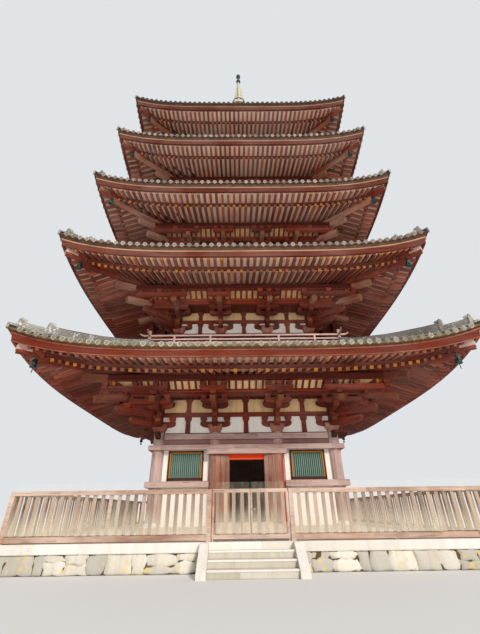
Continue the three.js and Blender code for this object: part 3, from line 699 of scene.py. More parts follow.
def make_grain_group():
    """Wood grain: noise drawn out along the member, as fine fibre, broad figure and drying cracks."""
    inputs = {"Along": 0.0, "Across": 0.0, "Number": 0.0, "Fineness": 1.0}
    graph, given, result = new_group("Wood grain", inputs, ("Fibre", "Figure", "Cracks"))
    across = graph.times(given["Across"], given["Fineness"])
    number = graph.times(given["Number"], 13.0)

    def drawn(share_along, share_across, detail, roughness):
        along = graph.times(given["Along"], share_along)
        place = graph.combine(along, graph.times(across, share_across), number)
        return graph.noise(place, 1.0, detail, roughness)

    graph.feed(result["Fibre"], drawn(1.6, 60.0, 3.0, 0.6))
    graph.feed(result["Figure"], drawn(0.5, 9.0, 4.0, 0.6))
    graph.feed(result["Cracks"], graph.range(drawn(0.8, 24.0, 2.0, 0.5), 0.62, 0.72))


def make_weather_group():
    """Weathering: broad patches, and streaks drawn out down the walls."""
    inputs = {"Position": None, "Size": 1.0}
    graph, given, result = new_group("Weathering", inputs, ("Patches", "Streaks"))
    scaling = {0: given["Position"], 3: given["Size"]}
    scaled = graph.node("VectorMath", scaling, operation="SCALE").outputs[0]
    x, y, z = graph.separate(scaled)
    drawn = graph.combine(graph.times(x, 3.0), graph.times(y, 3.0), graph.times(z, 0.35))
    graph.feed(result["Patches"], graph.range(graph.noise(scaled, 0.55, 4.0, 0.6), 0.36, 0.66))
    graph.feed(result["Streaks"], graph.range(graph.noise(drawn, 1.0, 3.0, 0.6), 0.42, 0.72))


def make_speck_group():
    """Specks: the inner parts of random cells, thinned by a broad noise, as lichen and stains."""
    inputs = {"Position": None, "Size": 10.0, "Amount": 0.5}
    graph, given, result = new_group("Specks", inputs, ("Specks", "Speckle"))
    place, size = given["Position"], given["Size"]
    cells = graph.node("TexVoronoi", {"Vector": place, "Scale": size}).outputs["Distance"]
    where = graph.noise(place, graph.times(size, 0.21), 3.0, 0.6)
    reach = graph.times(graph.math("SUBTRACT", where, 0.5), 1.6)
    shown = graph.plus(graph.math("SUBTRACT", given["Amount"], cells), reach)
    graph.feed(result["Specks"], graph.range(shown, 0.0, 0.18))
    fine = graph.noise(place, graph.times(size, 6.0), 2.0, 0.7)
    graph.feed(result["Speckle"], graph.range(fine, 0.35, 0.65))


def opaque(colour, factor=1.0):
    """A colour made lighter or darker by a factor, with full cover."""
    return tuple(min(1.0, channel * factor) for channel in colour[:3]) + (1.0,)


class Finish(Graph):
    """A material with a principled shader, and the graph that feeds it."""

    def __init__(self, name, gloss=0.5):
        self.material = bpy.data.materials.new(name)
        self.material.use_nodes = True
        self.material.node_tree.nodes.clear()
        super().__init__(self.material.node_tree)
        self.shader = self.node("BsdfPrincipled", {"Specular IOR Level": gloss})
        self.node("OutputMaterial", {"Surface": self.shader.outputs[0]})

    def position(self):
        return self.node("TexCoord").outputs["Object"]

    def attribute(self, name):
        return self.node("Attribute", attribute_name=name).outputs["Fac"]

    def members(self):
        """Coordinates of a new piece's members: its grain map and its tone."""
        along, across, _ = self.separate(self.node("UVMap", uv_map="grain").outputs[0])
        return along, across, self.attribute("tone")

    def layers(self, base, *layers):
        """A colour with others laid over it. A layer is its share, its colour and a factor for that."""
        colour = opaque(base)
        for share, tint, factor in layers:
            colour = self.mix(share, colour, opaque(tint, factor))
        return colour

    def close(self, colour, roughness, height, strength, distance):
        """Feeds the shader its colour and roughness, and its normal from a height through a bump."""
        bump = self.node("Bump", {"Height": height, "Strength": strength, "Distance": distance})
        for label, value in (("Base Color", colour), ("Roughness", roughness), ("Normal", bump.outputs[0])):
            self.feed(self.shader.inputs[label], value)


def make_wood(name, light, dark, pale, frame_level=None, bleach=0.35, ends=None, under=None,
              fineness=1.0, variety=0.3, shade=0.0):
    """Weathered timber: figure and fibre between two tones, bleached patches, cracks, and painted ends."""
    finish = Finish(name, gloss=0.08)
    position = finish.position()
    if frame_level is None:
        along, across, number = finish.members()
    else:
        member = finish.group("Member coordinates", position=position, level_above=frame_level)
        along, across, number = member["Along"], member["Across"], member["Number"]
    grain = finish.group("Wood grain", along=along, across=across, number=number, fineness=fineness)
    weather = finish.group("Weathering", position=position, size=1.0)
    fibre, cracks = grain["Fibre"], grain["Cracks"]
    tone = finish.math("FRACT", finish.times(number, 7.31))
    faded = finish.times(finish.times(weather["Patches"], bleach), finish.range(fibre, 0.3, 0.6, 0.5, 1.0))
    layers = [
        (finish.range(grain["Figure"], 0.3, 0.7), light, 1.0),
        (finish.range(fibre, 0.3, 0.75, 0.0, 0.5), light, 1.25),
        (finish.range(tone, 0.0, 0.6, variety, 0.0), dark, 0.8),
        (finish.range(tone, 0.75, 1.0, 0.0, variety), light, 1.5),
        (faded, pale, 1.0),
        (finish.times(cracks, 0.55), dark, 0.35),
    ]
    # Painted shade: the left and right sides are made darker than the front and back
    if shade:
        x, y, _ = finish.separate(position)
        aside = finish.math("SUBTRACT", finish.math("ABSOLUTE", x), finish.math("ABSOLUTE", y))
        layers.append((finish.range(aside, -0.05, 0.05, 0.0, shade), dark, 0.5))
    if under is not None:
        upward = finish.separate(finish.node("NewGeometry").outputs["Normal"])[2]
        layers.append((finish.range(upward, -0.9, -0.5, 0.75, 0.0), under, 1.0))
    if ends is not None:
        kept = finish.range(fibre, 0.32, 0.62, 0.5, 1.0)
        worn = finish.times(kept, finish.range(tone, 0.3, 0.85, 0.2, 1.0))
        layers.append((finish.times(finish.attribute("end"), worn), ends, 1.0))
    height = finish.math("SUBTRACT", fibre, finish.times(cracks, 0.8))
    roughness = finish.range(fibre, 0.2, 0.8, 0.62, 0.86)
    finish.close(finish.layers(dark, *layers), roughness, height, 0.35, 0.006)


def make_plaster(name, base, stain, grime=0.25):
    """Lime plaster: trowel waves, fine grit, and grey runs under the beams."""
    finish = Finish(name, gloss=0.1)
    position = finish.position()
    weather = finish.group("Weathering", position=position, size=1.4)
    specks = finish.group("Specks", position=position, size=9.0, amount=0.12)
    colour = finish.layers(
        base,
        (finish.times(weather["Streaks"], grime), stain, 1.0),
        (finish.times(specks["Specks"], 0.25), stain, 0.8),
        (finish.times(specks["Speckle"], 0.1), base, 1.1),
    )
    wave = finish.plus(finish.noise(position, 5.0, 3.0), finish.times(specks["Speckle"], 0.15))
    finish.close(colour, finish.range(weather["Patches"], 0, 1, 0.86, 0.97), wave, 0.3, 0.01)


def make_tile(name, light, dark, moss, own=True, lichen=0.32, face=None, top_shade=0.0):
    """Smoked clay tile: each tile its own grey, pale lichen spots, dark wet marks and a trace of moss."""
    finish = Finish(name, gloss=0.25)
    position = finish.position()
    weather = finish.group("Weathering", position=position, size=1.2)
    specks = finish.group("Specks", position=position, size=11.0, amount=lichen)
    number = finish.attribute("tone") if own else finish.noise(position, 3.0, 1.0)
    layers = [
        (finish.range(number, 0.1, 0.9), light, 1.0),
        (finish.times(weather["Patches"], 0.4), light, 1.15),
        (finish.times(specks["Specks"], 0.7), light, 1.6),
        (finish.times(weather["Streaks"], 0.35), moss, 1.0),
        (finish.times(specks["Speckle"], 0.3), dark, 0.9),
    ]
    if face is not None:
        layers.append((finish.times(finish.attribute("end"), 0.75), face, 1.0))
    # Painted shade: towards the top of the tower the tile ends and lips are darkened to a dark grey-green
    if top_shade:
        height = finish.separate(position)[2]
        layers.append((finish.range(height, *TILE_SHADE_HEIGHTS, 0.0, top_shade), srgb(44, 46, 42), 1.0))
    relief = finish.plus(finish.times(specks["Specks"], 0.5), specks["Speckle"])
    roughness = finish.range(specks["Speckle"], 0, 1, 0.55, 0.85)
    finish.close(finish.layers(dark, *layers), roughness, relief, 0.35, 0.004)


def make_stone(name, light, dark, lichen_colour, lichen=0.25, own=True, coarse=1.0, streaks=0.3):
    """Granite and rubble: mineral speckle, cloudy tone, lichen, and rain marks."""
    finish = Finish(name, gloss=0.15)
    position = finish.position()
    weather = finish.group("Weathering", position=position, size=1.6)
    specks = finish.group("Specks", position=position, size=7.0, amount=lichen)
    number = finish.attribute("tone") if own else finish.noise(position, 1.1, 1.0)
    grit = finish.noise(position, 150.0, 2.0, 0.7)
    colour = finish.layers(
        dark,
        (finish.range(number, 0.0, 1.0, 0.15, 0.85), light, 1.0),
        (finish.range(grit, 0.4, 0.62, 0.0, 0.45), dark, 0.55),
        (finish.times(weather["Streaks"], streaks), dark, 0.7),
        (finish.times(specks["Specks"], 0.55), lichen_colour, 1.0),
    )
    pits = finish.plus(finish.noise(position, 22.0 * coarse, 5.0, 0.65), finish.times(grit, 0.25))
    finish.close(colour, finish.range(grit, 0.3, 0.7, 0.78, 0.95), pits, 0.55, 0.012)


def make_paint(name, base, worn, wear=0.4):
    """Old mineral paint on wood: flakes along the grain show the timber."""
    finish = Finish(name, gloss=0.12)
    along, across, number = finish.members()
    grain = finish.group("Wood grain", along=along, across=across, number=number, fineness=1.0)
    weather = finish.group("Weathering", position=finish.position(), size=3.0)
    fibre = grain["Fibre"]
    flakes = finish.times(finish.range(fibre, 0.48, 0.62), finish.range(weather["Patches"], 0, 1, 0.3, 1.0))
    colour = finish.layers(
        base,
        (finish.range(grain["Figure"], 0.3, 0.7, 0.0, 0.3), base, 1.35),
        (finish.times(flakes, wear), worn, 1.0),
    )
    finish.close(colour, finish.range(fibre, 0.3, 0.7, 0.55, 0.8), fibre, 0.25, 0.004)


def make_bronze(name, metal, patina, share):
    """Weathered bronze: dark metal under a broken patina that gathers in runs."""
    finish = Finish(name)
    position = finish.position()
    weather = finish.group("Weathering", position=position, size=2.4)
    specks = finish.group("Specks", position=position, size=16.0, amount=share)
    cover = finish.math("MAXIMUM", specks["Specks"], finish.times(weather["Streaks"], 0.8))
    colour = finish.layers(metal, (cover, patina, 1.0), (finish.times(specks["Speckle"], 0.25), metal, 0.6))
    finish.feed(finish.shader.inputs["Metallic"], finish.range(cover, 0, 1, 0.85, 0.1))
    finish.close(colour, finish.range(cover, 0, 1, 0.42, 0.8), cover, 0.3, 0.004)


def make_clear(name):
    """Clear sheet: see-through, with faint runs, and cloudier towards its foot."""
    finish = Finish(name, gloss=0.1)
    position = finish.position()
    streaks = finish.group("Weathering", position=position, size=3.0)["Streaks"]
    finish.shader.inputs["Base Color"].default_value = (0.66, 0.58, 0.44, 1)
    finish.shader.inputs["Roughness"].default_value = 0.4
    clouding = finish.range(finish.separate(position)[2], *CLOUDING_HEIGHTS, 0.43, 0.0)
    clouding = finish.times(clouding, finish.range(streaks, 0, 1, 0.7, 1.1))
    finish.feed(finish.shader.inputs["Alpha"], finish.plus(clouding, finish.range(streaks, 0, 1, 0.03, 0.08)))


def make_woods(colours):
    timber, dark, pale = colours.timber, colours.timber_dark, colours.pale_timber
    bleached, stained, red_under = srgb(204, 182, 174), srgb(136, 100, 92), srgb(170, 64, 42)
    make_wood("Timber", timber, dark, pale, bleach=0.12, ends=srgb(128, 82, 40), variety=0.6)
    make_wood("Frame timber", timber, dark, pale, ALL_LEVEL, bleach=0.12)
    make_wood("Red eave timber", srgb(106, 42, 25), srgb(72, 25, 16), pale, bleach=0.05)
    make_wood("Eave timber", srgb(94, 43, 32), srgb(60, 27, 20), pale, bleach=0.12)
    make_wood("Edge timber", srgb(160, 116, 90), srgb(112, 76, 56), srgb(186, 152, 126), bleach=0.3)
    make_wood("Bright red timber", srgb(164, 62, 34), srgb(118, 40, 24), pale, bleach=0.1)
    # Painted shade: a dark timber laid over parts that lie in the eave's shadow
    make_wood("Shaded timber", srgb(84, 34, 26), srgb(52, 22, 18), srgb(110, 60, 48), bleach=0.1)
    # Painted shade: a darker, greyer copy of the pale timber for the boards in the recess over the lintel
    make_wood("Head boards in painted shade", srgb(136, 102, 98), srgb(98, 68, 64), srgb(168, 142, 138), bleach=0.4)
    make_wood("Block timber", srgb(158, 98, 84), srgb(104, 56, 46), srgb(190, 150, 136), bleach=0.5)
    # Painted shadow: the olive lath under the first roof's tile ends
    make_wood("Lath timber", srgb(118, 94, 48), srgb(70, 54, 30), srgb(130, 110, 74), bleach=0.2)
    make_wood("Dark boards", srgb(84, 48, 38), srgb(52, 32, 26), srgb(110, 84, 70), bleach=0.1)

    rafter = srgb(134, 66, 48), srgb(88, 42, 32), pale
    make_wood("Rafter timber", *rafter, bleach=0.2, ends=srgb(140, 94, 66), variety=0.7)
    make_wood("Ochre-ended timber", *rafter, bleach=0.2, ends=colours.ochre, variety=0.7)
    make_wood("Upper rafter timber", srgb(142, 76, 62), srgb(96, 48, 40), pale, bleach=0.3,
              ends=srgb(176, 144, 126), variety=0.7)
    # The eave boards take painted shade on the left and right sides
    make_wood("Soffit timber", colours.soffit, srgb(196, 158, 136), srgb(238, 216, 200), bleach=0.4,
              fineness=0.6, shade=0.75)
    log_end = srgb(104, 68, 32)
    make_wood("Tail timber", srgb(146, 88, 68), srgb(90, 48, 38), srgb(188, 156, 136), bleach=0.5,
              ends=log_end)
    make_wood("Log timber", srgb(126, 70, 52), srgb(80, 40, 30), srgb(160, 112, 92), bleach=0.35,
              ends=log_end)

    silvered = pale, stained, bleached
    make_wood("Pale timber", *silvered, bleach=0.5, ends=srgb(178, 158, 140), under=red_under)
    make_wood("Pale frame timber", *silvered, LINTEL_FOOT, bleach=0.5, under=red_under)
    make_wood("Pale level timber", *silvered, ALL_LEVEL, bleach=0.5, under=red_under)

    door = srgb(142, 92, 72), srgb(84, 50, 40), srgb(186, 156, 140)
    make_wood("Door timber", *door, bleach=0.5, fineness=0.8)
    make_wood("Door frame timber", *door, ALL_UPRIGHT, bleach=0.5)
    make_wood("Fence timber", colours.fence, srgb(98, 72, 58), srgb(184, 162, 144), bleach=0.5,
              fineness=0.9, variety=0.6)
    make_wood("Fence frame timber", srgb(168, 136, 118), srgb(108, 76, 62), srgb(212, 192, 174), ALL_LEVEL,
              bleach=0.6)


def make_other_finishes(colours):
    make_plaster("Plaster", colours.plaster, srgb(186, 174, 160))
    # Painted shade: tan plaster for the upper panels and the first cove, darker and redder as shade with
    # painted red light reflected from the timber
    make_plaster("Cove plaster in painted shade", srgb(218, 182, 138), srgb(158, 120, 84), grime=0.45)
    # Painted shade: a darker copy of the tan plaster, for the coves of the upper storeys
    make_plaster("Shaded plaster", srgb(182, 142, 104), srgb(128, 94, 66), grime=0.45)
    make_tile("Tile", colours.tile, colours.tile_dark, srgb(96, 98, 74))
    # The tile lips and ends take painted shade towards the top of the tower
    make_tile("Tile lip", srgb(150, 150, 130), srgb(84, 84, 66), srgb(96, 98, 64), top_shade=0.8)
    make_tile("Tile end", srgb(186, 180, 170), srgb(122, 114, 104), srgb(112, 104, 78), lichen=0.26,
              face=srgb(84, 76, 66), top_shade=0.85)
    make_tile("Tile bed", srgb(86, 66, 50), srgb(50, 38, 30), srgb(100, 80, 44), own=False)
    granite = colours.granite, srgb(214, 206, 194), srgb(198, 186, 146)
    make_stone("Granite", *granite, lichen=0.12)
    make_stone("Frame granite", *granite, lichen=0.12, own=False)
    make_stone("Step stone", srgb(219, 212, 200), srgb(184, 175, 156), srgb(204, 190, 148), lichen=0.14,
               streaks=0.5)
    make_stone("Rubble", colours.rubble, srgb(164, 158, 146), srgb(210, 184, 100), lichen=0.34, coarse=0.5)
    make_stone("Bedding", srgb(112, 100, 76), srgb(72, 64, 48), srgb(140, 120, 60), own=False)
    make_paint("Ochre paint", colours.ochre, srgb(150, 120, 90), wear=0.35)
    make_paint("Vermilion paint", colours.vermilion, srgb(150, 96, 70), wear=0.3)
    make_paint("Green paint", colours.green, srgb(136, 150, 138), wear=0.7)
    make_paint("Dark green paint", srgb(58, 84, 72), srgb(74, 92, 82), wear=0.4)
    make_bronze("Bronze", srgb(96, 92, 80), srgb(132, 150, 142), 0.3)
    make_bronze("Gilt bronze", srgb(196, 182, 152), srgb(186, 184, 166), 0.6)
    make_bronze("Verdigris", srgb(44, 50, 50), srgb(52, 84, 86), 0.5)
    make_clear("Clear sheet")


class PAGODA_OT_finishes(bpy.types.Operator):
    """Make the node groups and the finishes of timber, plaster, tile, stone, paint and bronze"""
    bl_idname = "pagoda.finishes"
    bl_label = "Finishes"

    def execute(self, context):
        for make in (make_member_group, make_grain_group, make_weather_group, make_speck_group):
            make()
        make_woods(context.scene.pagoda_colours)
        make_other_finishes(context.scene.pagoda_colours)
        return {"FINISHED"}


# The finish of a frame solid is the first whose part of a name is found in the solid's name
FRAME_FINISHES = {
    "_roof": "Tile bed", "_brackets": "Frame timber", "_storey": "Frame timber",
    "_balcony": "Pale level timber", "wall_": "Plaster", "waist_beam": "Pale level timber",
    "lintel_beam": "Pale level timber", "first_columns": "Pale frame timber", "doorway": "Pale level timber",
    "front_door": "Door frame timber", "fence_": "Fence frame timber", "gate_": "Fence frame timber",
    "first_floor": "Pale level timber", "podium_masonry": "Bedding", "podium_coping": "Frame granite",
    "front_steps": "Step stone", "step_cheek": "Frame granite", "spire_jewels": "Verdigris",
    "spire_base": "Bronze", "spire_": "Gilt bronze",
}


class PAGODA_OT_frame_finishes(bpy.types.Operator):
    """Give every solid of the frame its finish"""
    bl_idname = "pagoda.frame_finishes"
    bl_label = "Finishes of the frame"

    def execute(self, context):
        for name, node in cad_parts.items():
            found = [label for part, label in FRAME_FINISHES.items() if part in name]
            if not found:
                raise RuntimeError(f"no finish is chosen for {name}")
            node.data.materials.clear()
            node.data.materials.append(made_finish(found[0]))
        return {"FINISHED"}


def lay_tiles(storey, sizes):
    """Rows of round tiles, flat tiles between them, discs on the rows' ends and lips on the flat tiles."""
    name, pitch, radius = storey.name, sizes.pitch * storey.tile_share, sizes.radius
    rows = centred_rows(storey.reach - 0.05, pitch)
    between = centred_rows(storey.reach - 0.1, pitch, between=True)
    face = storey.reach + TILE_PAST

    covers = Builder(storey.index)
    covers.add(*half_tubes(*tile_places(storey, rows, sizes.length), storey, radius, radius - 0.009))
    covers.make(f"{name}_round_tiles", "Tile", "roof_tile", sharp=50)

    pans = Builder(10 + storey.index)
    pans.add(*pan_tiles(*tile_places(storey, between, sizes.length), storey, pitch / 2 - radius + 0.05))
    pans.make(f"{name}_flat_tiles", "Tile", "roof_tile", sharp=50)

    ends = Builder(20 + storey.index)
    rim = radius - 0.002
    disc = [(rim, -0.03), (rim, 0.01), (rim - 0.013, 0.032), (rim - 0.026, 0.01), (0.02, 0.014)]
    height = storey.top(face, rows) + TILE_LIFT
    ends.add(*rounds(disc, 12, front(rows, face, height), (0, -1, 0)), painted=True)
    ends.make(f"{name}_tile_ends", "Tile end", "roof_tile")

    lips = Builder(25 + storey.index)
    half = pitch / 2 - 0.02
    lip = [(-half, -0.01), (-half * 0.5, -0.052), (0, -0.066), (half * 0.5, -0.052), (half, -0.01),
           (half, 0.02), (half * 0.5, -0.006), (0, -0.016), (-half * 0.5, -0.006), (-half, 0.02)]
    low = storey.top(face, between) + TILE_LIFT
    lips.add(*plates(lip, front(between, face - 0.02, low), (1, 0, 0), 0.03))
    lips.make(f"{name}_tile_lips", "Tile lip", "roof_tile")


class PAGODA_OT_roof_tiles(bpy.types.Operator):
    """Lay the round and flat tiles of every roof, and the end discs along the eaves"""
    bl_idname = "pagoda.roof_tiles"
    bl_label = "Roof tiles"

    def execute(self, context):
        for storey in storeys():
            lay_tiles(storey, context.scene.pagoda_tiles)
        return {"FINISHED"}


def ridge_profile(half, height, courses):
    """Thin courses that step in and out, under a round cover."""
    side = []
    rise = height / courses
    for course in range(courses):
        low = course * rise - (0.06 if course == 0 else 0)
        lip = (course + 0.8) * rise
        side += [(half, low), (half, lip), (half - 0.016, lip), (half - 0.016, (course + 1) * rise)]
    angle = np.linspace(0, np.pi, 9)
    cover = [(0.085 * np.cos(a), height + 0.075 * np.sin(a)) for a in angle]
    left = [(-x, z) for x, z in reversed(side)]
    return np.array(side + cover + left)


def ridge_run(builder, storey, share_in, share_out, profile):
    """A profile carried along the hip between two shares of the slope. Returns its outer end."""
    shares = np.linspace(share_out, share_in, 9)
    out = storey.flat_half + (storey.reach - storey.flat_half) * shares
    base = storey.top(out, out)
    points = diagonal(out[:, None], base[:, None] + profile[None, :, 1], profile[None, :, 0])
    faces = prism_faces(len(profile), len(shares))
    builder.add(points.reshape(1, -1, 3), faces, DIAGONAL + (0, 0, -0.25))
    return out[0], base[0]


def end_tiles(builder, out, base, height, half):
    """An upright tile with rounded shoulders, a plain boss, and a round tile that points up and out."""
    right = [(half, -0.08), (half * 1.05, height * 0.3), (half * 0.86, height * 0.45),
             (half * 0.95, height * 0.62), (half * 0.6, height * 0.86), (half * 0.2, height)]
    builder.add(*plates(mirrored(right), diagonal(out + 0.03, base), (1, 1, 0), 0.075))
    boss = [(half * 0.5, 0.0), (half * 0.48, 0.035), (half * 0.3, 0.06), (half * 0.1, 0.07)]
    builder.add(*rounds(boss, 14, diagonal(out + 0.055, base + height * 0.42), DIAGONAL))
    cap = [(0.07, -0.12), (0.07, 0.05), (0.078, 0.055), (0.078, 0.085), (0.06, 0.09)]
    builder.add(*rounds(cap, 12, diagonal(out - 0.02, base + height * 0.92), DIAGONAL + (0, 0, 0.25)))


def corner_row(builder, storey, start):
    """The last round tiles of the hip, down to a disc at the roof's corner."""
    out = np.linspace(storey.reach, start - 0.1, 4)
    angle = np.linspace(0, np.pi, 9)
    height = storey.top(out, out) + TILE_LIFT
    points = diagonal(out[:, None], height[:, None] + 0.11 * np.sin(angle), 0.105 * np.cos(angle))
    builder.add(points.reshape(1, -1, 3), open_faces(9, 4), DIAGONAL)
    disc = [(0.115, -0.02), (0.115, 0.02), (0.095, 0.026), (0.085, 0.01), (0.02, 0.014)]
    builder.add(*rounds(disc, 14, diagonal(out[0], height[0]), DIAGONAL))


class PAGODA_OT_ridges(bpy.types.Operator):
    """Build the hip ridges of every roof in two steps, with plain upright end tiles"""
    bl_idname = "pagoda.ridges"
    bl_label = "Hip ridges"

    def execute(self, context):
        for storey in storeys():
            builder = Builder(30 + storey.index)
            clear = (storey.tile_top - storey.flat_half) / (storey.reach - storey.flat_half)
            upper = ridge_run(builder, storey, clear, 0.765, ridge_profile(0.158, 0.335, 6))
            lower = ridge_run(builder, storey, 0.72, 0.935, ridge_profile(0.128, 0.215, 4))
            end_tiles(builder, *upper, 0.5, 0.2)
            end_tiles(builder, *lower, 0.37, 0.165)
            corner_row(builder, storey, lower[0])
            builder.make(f"{storey.name}_ridges", "Tile", "roof_tile", sharp=40)
        return {"FINISHED"}


def eave_boards(storey):
    """The board along the rafters' ends, its trim below, the strip above it and the lath under the tiles."""
    name, edge, low = storey.name, storey.edge, storey.edge_height
    middle, high = low + 0.82 * EAVE_BOARD, low + 1.06 * EAVE_BOARD
    reach, eave = storey.reach, storey.eave
    boards = Builder(40 + storey.index)
    boards.add(*side_sweep([(edge - 0.1, low - 0.006, EDGE_RISE), (edge + 0.014, low - 0.006, EDGE_RISE),
                            (edge + 0.046, middle, 0.93), (edge - 0.1, middle, 0.93)]))
    boards.make(f"{name}_eave_board", "Eave timber" if storey.index else "Red eave timber")
    trim = Builder(315 + storey.index)
    trim.add(*side_sweep([(edge - 0.05, low - 0.03, EDGE_RISE), (edge + 0.02, low - 0.03, EDGE_RISE),
                          (edge + 0.022, low - 0.002, EDGE_RISE), (edge - 0.05, low - 0.002, EDGE_RISE)]))
    trim.make(f"{name}_eave_trim", "Eave timber" if storey.index else "Log timber")
    strip = Builder(45 + storey.index)
    strip.add(*side_sweep([(edge - 0.1, middle, 0.93), (edge + 0.062, middle, 0.93),
                           (edge + 0.068, high, 0.95), (edge - 0.1, high, 0.95)]))
    strip.make(f"{name}_eave_strip", "Edge timber" if storey.index else "Rafter timber")
    # The lath's dark colour, olive on the first storey, is painted shadow under the tile ends
    lath = Builder(50 + storey.index)
    lath.add(*side_sweep([(reach - 0.05, eave - 0.06, 1.0), (reach + 0.006, eave - 0.045, 1.0),
                          (reach + 0.008, eave + 0.008, 1.0), (reach - 0.05, eave + 0.008, 1.0)]))
    lath.make(f"{name}_tile_lath", "Dark boards" if storey.index else "Lath timber")


def rafters(storey, sizes):
    """Two tiers of rafters that end at the hips, and the beam that carries the flying ones."""
    rows = centred_rows(storey.edge - 0.25, sizes.rafter_pitch * storey.rafter_share)
    depth, knee, outer = sizes.rafter_depth, storey.knee, storey.edge - RAFTER_INSET
    flying = Builder(55 + storey.index)
    x, inner = cut_at_hip(rows, knee + 0.01, outer)
    flying.outward(x, (inner, outer), storey.upper_tier, depth / 2 + 0.006, sizes.rafter_width * 0.92, depth)
    woods = ("Rafter timber", "Ochre-ended timber", "Upper rafter timber")
    flying.make(f"{storey.name}_flying_rafters", woods[min(storey.index, 2)])

    base = Builder(60 + storey.index)
    x, inner = cut_at_hip(rows, storey.line + 1.2, knee + 0.1)
    base.outward(x, (inner, knee + 0.12), storey.lower_tier, depth / 2 + 0.008, sizes.rafter_width,
                 depth + 0.008)
    base.make(f"{storey.name}_base_rafters", "Ochre-ended timber" if storey.index < 3 else "Rafter timber")

    beam = Builder(65 + storey.index)
    low, high = storey.base_height, storey.flying_height - depth - 0.004
    beam.add(*side_sweep([(knee - 0.01, low - 0.004, BASE_RISE), (knee + 0.085, low - 0.03, BASE_RISE),
                          (knee + 0.085, high, FLYING_RISE), (knee - 0.01, high, FLYING_RISE)]))
    beam.make(f"{storey.name}_rafter_beam", "Eave timber")


def soffits(storey):
    """Boards over both tiers: rows of points across the slope, a little below the frame's underside."""
    boards = Builder(70 + storey.index)
    share = np.sin(np.linspace(-np.pi / 2, np.pi / 2, 41))
    for tier, inner, outer, bands in ((storey.upper_tier, storey.knee, storey.edge - 0.05, 2),
                                      (storey.lower_tier, storey.line + 0.15, storey.knee, 6)):
        half = np.linspace(inner, outer, bands)
        boards.add(*side_sheet(share, half, tier(half, share[:, None] * half) - 0.006, (0, 1, 0.2)))
    boards.make(f"{storey.name}_soffit_boards", "Soffit timber")


def hip_ends(storey):
    """The ends of the two hip rafters at each corner, in redder timber from the third storey up."""
    redder = storey.index > 1
    ends = Builder(75 + storey.index)
    out = np.array([storey.knee + 0.3, storey.edge - 0.13])
    ends.hip(out, storey.upper_tier(out, out) - 0.19, 0.226, 0.17, painted=True)
    ends.make(f"{storey.name}_hip_ends", "Tail timber" if redder else "Pale timber")
    lower = Builder(295 + storey.index)
    out = np.array([storey.line + 1.4 if redder else storey.knee - 0.35, storey.knee + 0.14])
    lower.hip(out, storey.lower_tier(out, out) - 0.22, 0.226, 0.2)
    lower.make(f"{storey.name}_lower_hip_ends", "Tail timber" if redder else "Timber")


class PAGODA_OT_eaves(bpy.types.Operator):
    """Build the eave boards, the two tiers of rafters and the boards over them"""
    bl_idname = "pagoda.eaves"
    bl_label = "Eaves and rafters"

    def execute(self, context):
        for storey in storeys():
            eave_boards(storey)
            rafters(storey, context.scene.pagoda_timber)
            soffits(storey)
            hip_ends(storey)
        return {"FINISHED"}


def small_block(half, height):
    return [(half * 0.68, 0), (half * 0.78, height * 0.24), (half, height * 0.5), (half, height)]


def wall_arms(builder, storey, sizes):
    """Two levels of arms in the wall's plane."""
    for low, half in ((0.2, sizes.arm_half + 0.08), (0.95, sizes.arm_half)):
        centres = front(storey.columns(), storey.line + 0.075, storey.head + low)
        builder.add(*bow_arms(centres, half, sizes.arm_height + 0.03, (1, 0, 0), 0.15))


def step_levels(storey):
    """How far out each step of the bracket course is, and the height of its arms."""
    return ((STEP_ONE, storey.step_height(1.27)), (STEP_TWO, storey.step_height(1.35)),
            (PURLIN_OUT, storey.step_height(2.05)))


def arm_spans(storey, out, half):
    """Centres and half lengths of the arms of one step: those at the corners reach the diagonal."""
    corner_half = (half + out + 0.14) / 2
    corner = storey.line - half + corner_half
    centres = np.array([-corner, -storey.inner, storey.inner, corner])
    return centres, np.array([corner_half, half, half, corner_half])


def posts(storey):
    """Corner posts under the hip rafter: how far out, the foot and how tall."""
    outer, inner = storey.step_height(1.95), storey.step_height(1.1)
    return (1.58, outer, storey.purlin_top - 0.02 - outer), (1.02, inner, storey.step_height(2.9) - inner)


def stepped_arms(builder, storey, sizes):
    """Arms along the wall on every step, corner posts, and arms that stand out from the columns."""
    for out, level in step_levels(storey):
        centres, halves = arm_spans(storey, out, sizes.arm_half)
        places = front(centres, storey.line + out, level)
        builder.add(*bow_arms(places, halves, sizes.arm_height, (1, 0, 0), sizes.arm_thickness))
    for out, low, tall in posts(storey):
        post = [(0.07, 0), (0.1, 0.1 * tall), (0.1, 0.3 * tall), (0.085, 0.31 * tall), (0.085, 0.45 * tall),
                (0.105, 0.55 * tall), (0.105, 0.7 * tall), (0.085, 0.71 * tall), (0.085, tall)]
        builder.add(*stacks(diagonal(storey.line + out, low), post))
    for reach, low, rise in ((0.72, 0.22, 0.0), (1.27, 0.62, storey.step - 0.34)):
        centres = front(storey.columns(), storey.line + reach / 2 - 0.05, storey.head + low + rise)
        builder.add(*bow_arms(centres, reach / 2 + 0.05, 0.22, (0, -1, 0), 0.19), painted=True)
    for reach, low in ((0.95, 0.2), (1.4, 0.5)):
        centre = diagonal(storey.line + reach / 2 - 0.1, storey.head + low)
        builder.add(*bow_arms(centre, (reach / 2 + 0.1) * np.sqrt(2), 0.23, DIAGONAL, 0.22), painted=True)


def ties(builder, storey):
    """Straight ties round the wall and round the second step, crossing at the corners."""
    for out, height, past, width, depth in ((0.07, 0.92, 0.3, 0.14, 0.17), (0.07, 2.5, 0.3, 0.14, 0.1),
                                            (STEP_TWO, 2.15, 0.32, 0.13, 0.15)):
        end = storey.line + out + past
        builder.level(-end, end, storey.line + out, storey.step_height(height), width, depth, painted=True)


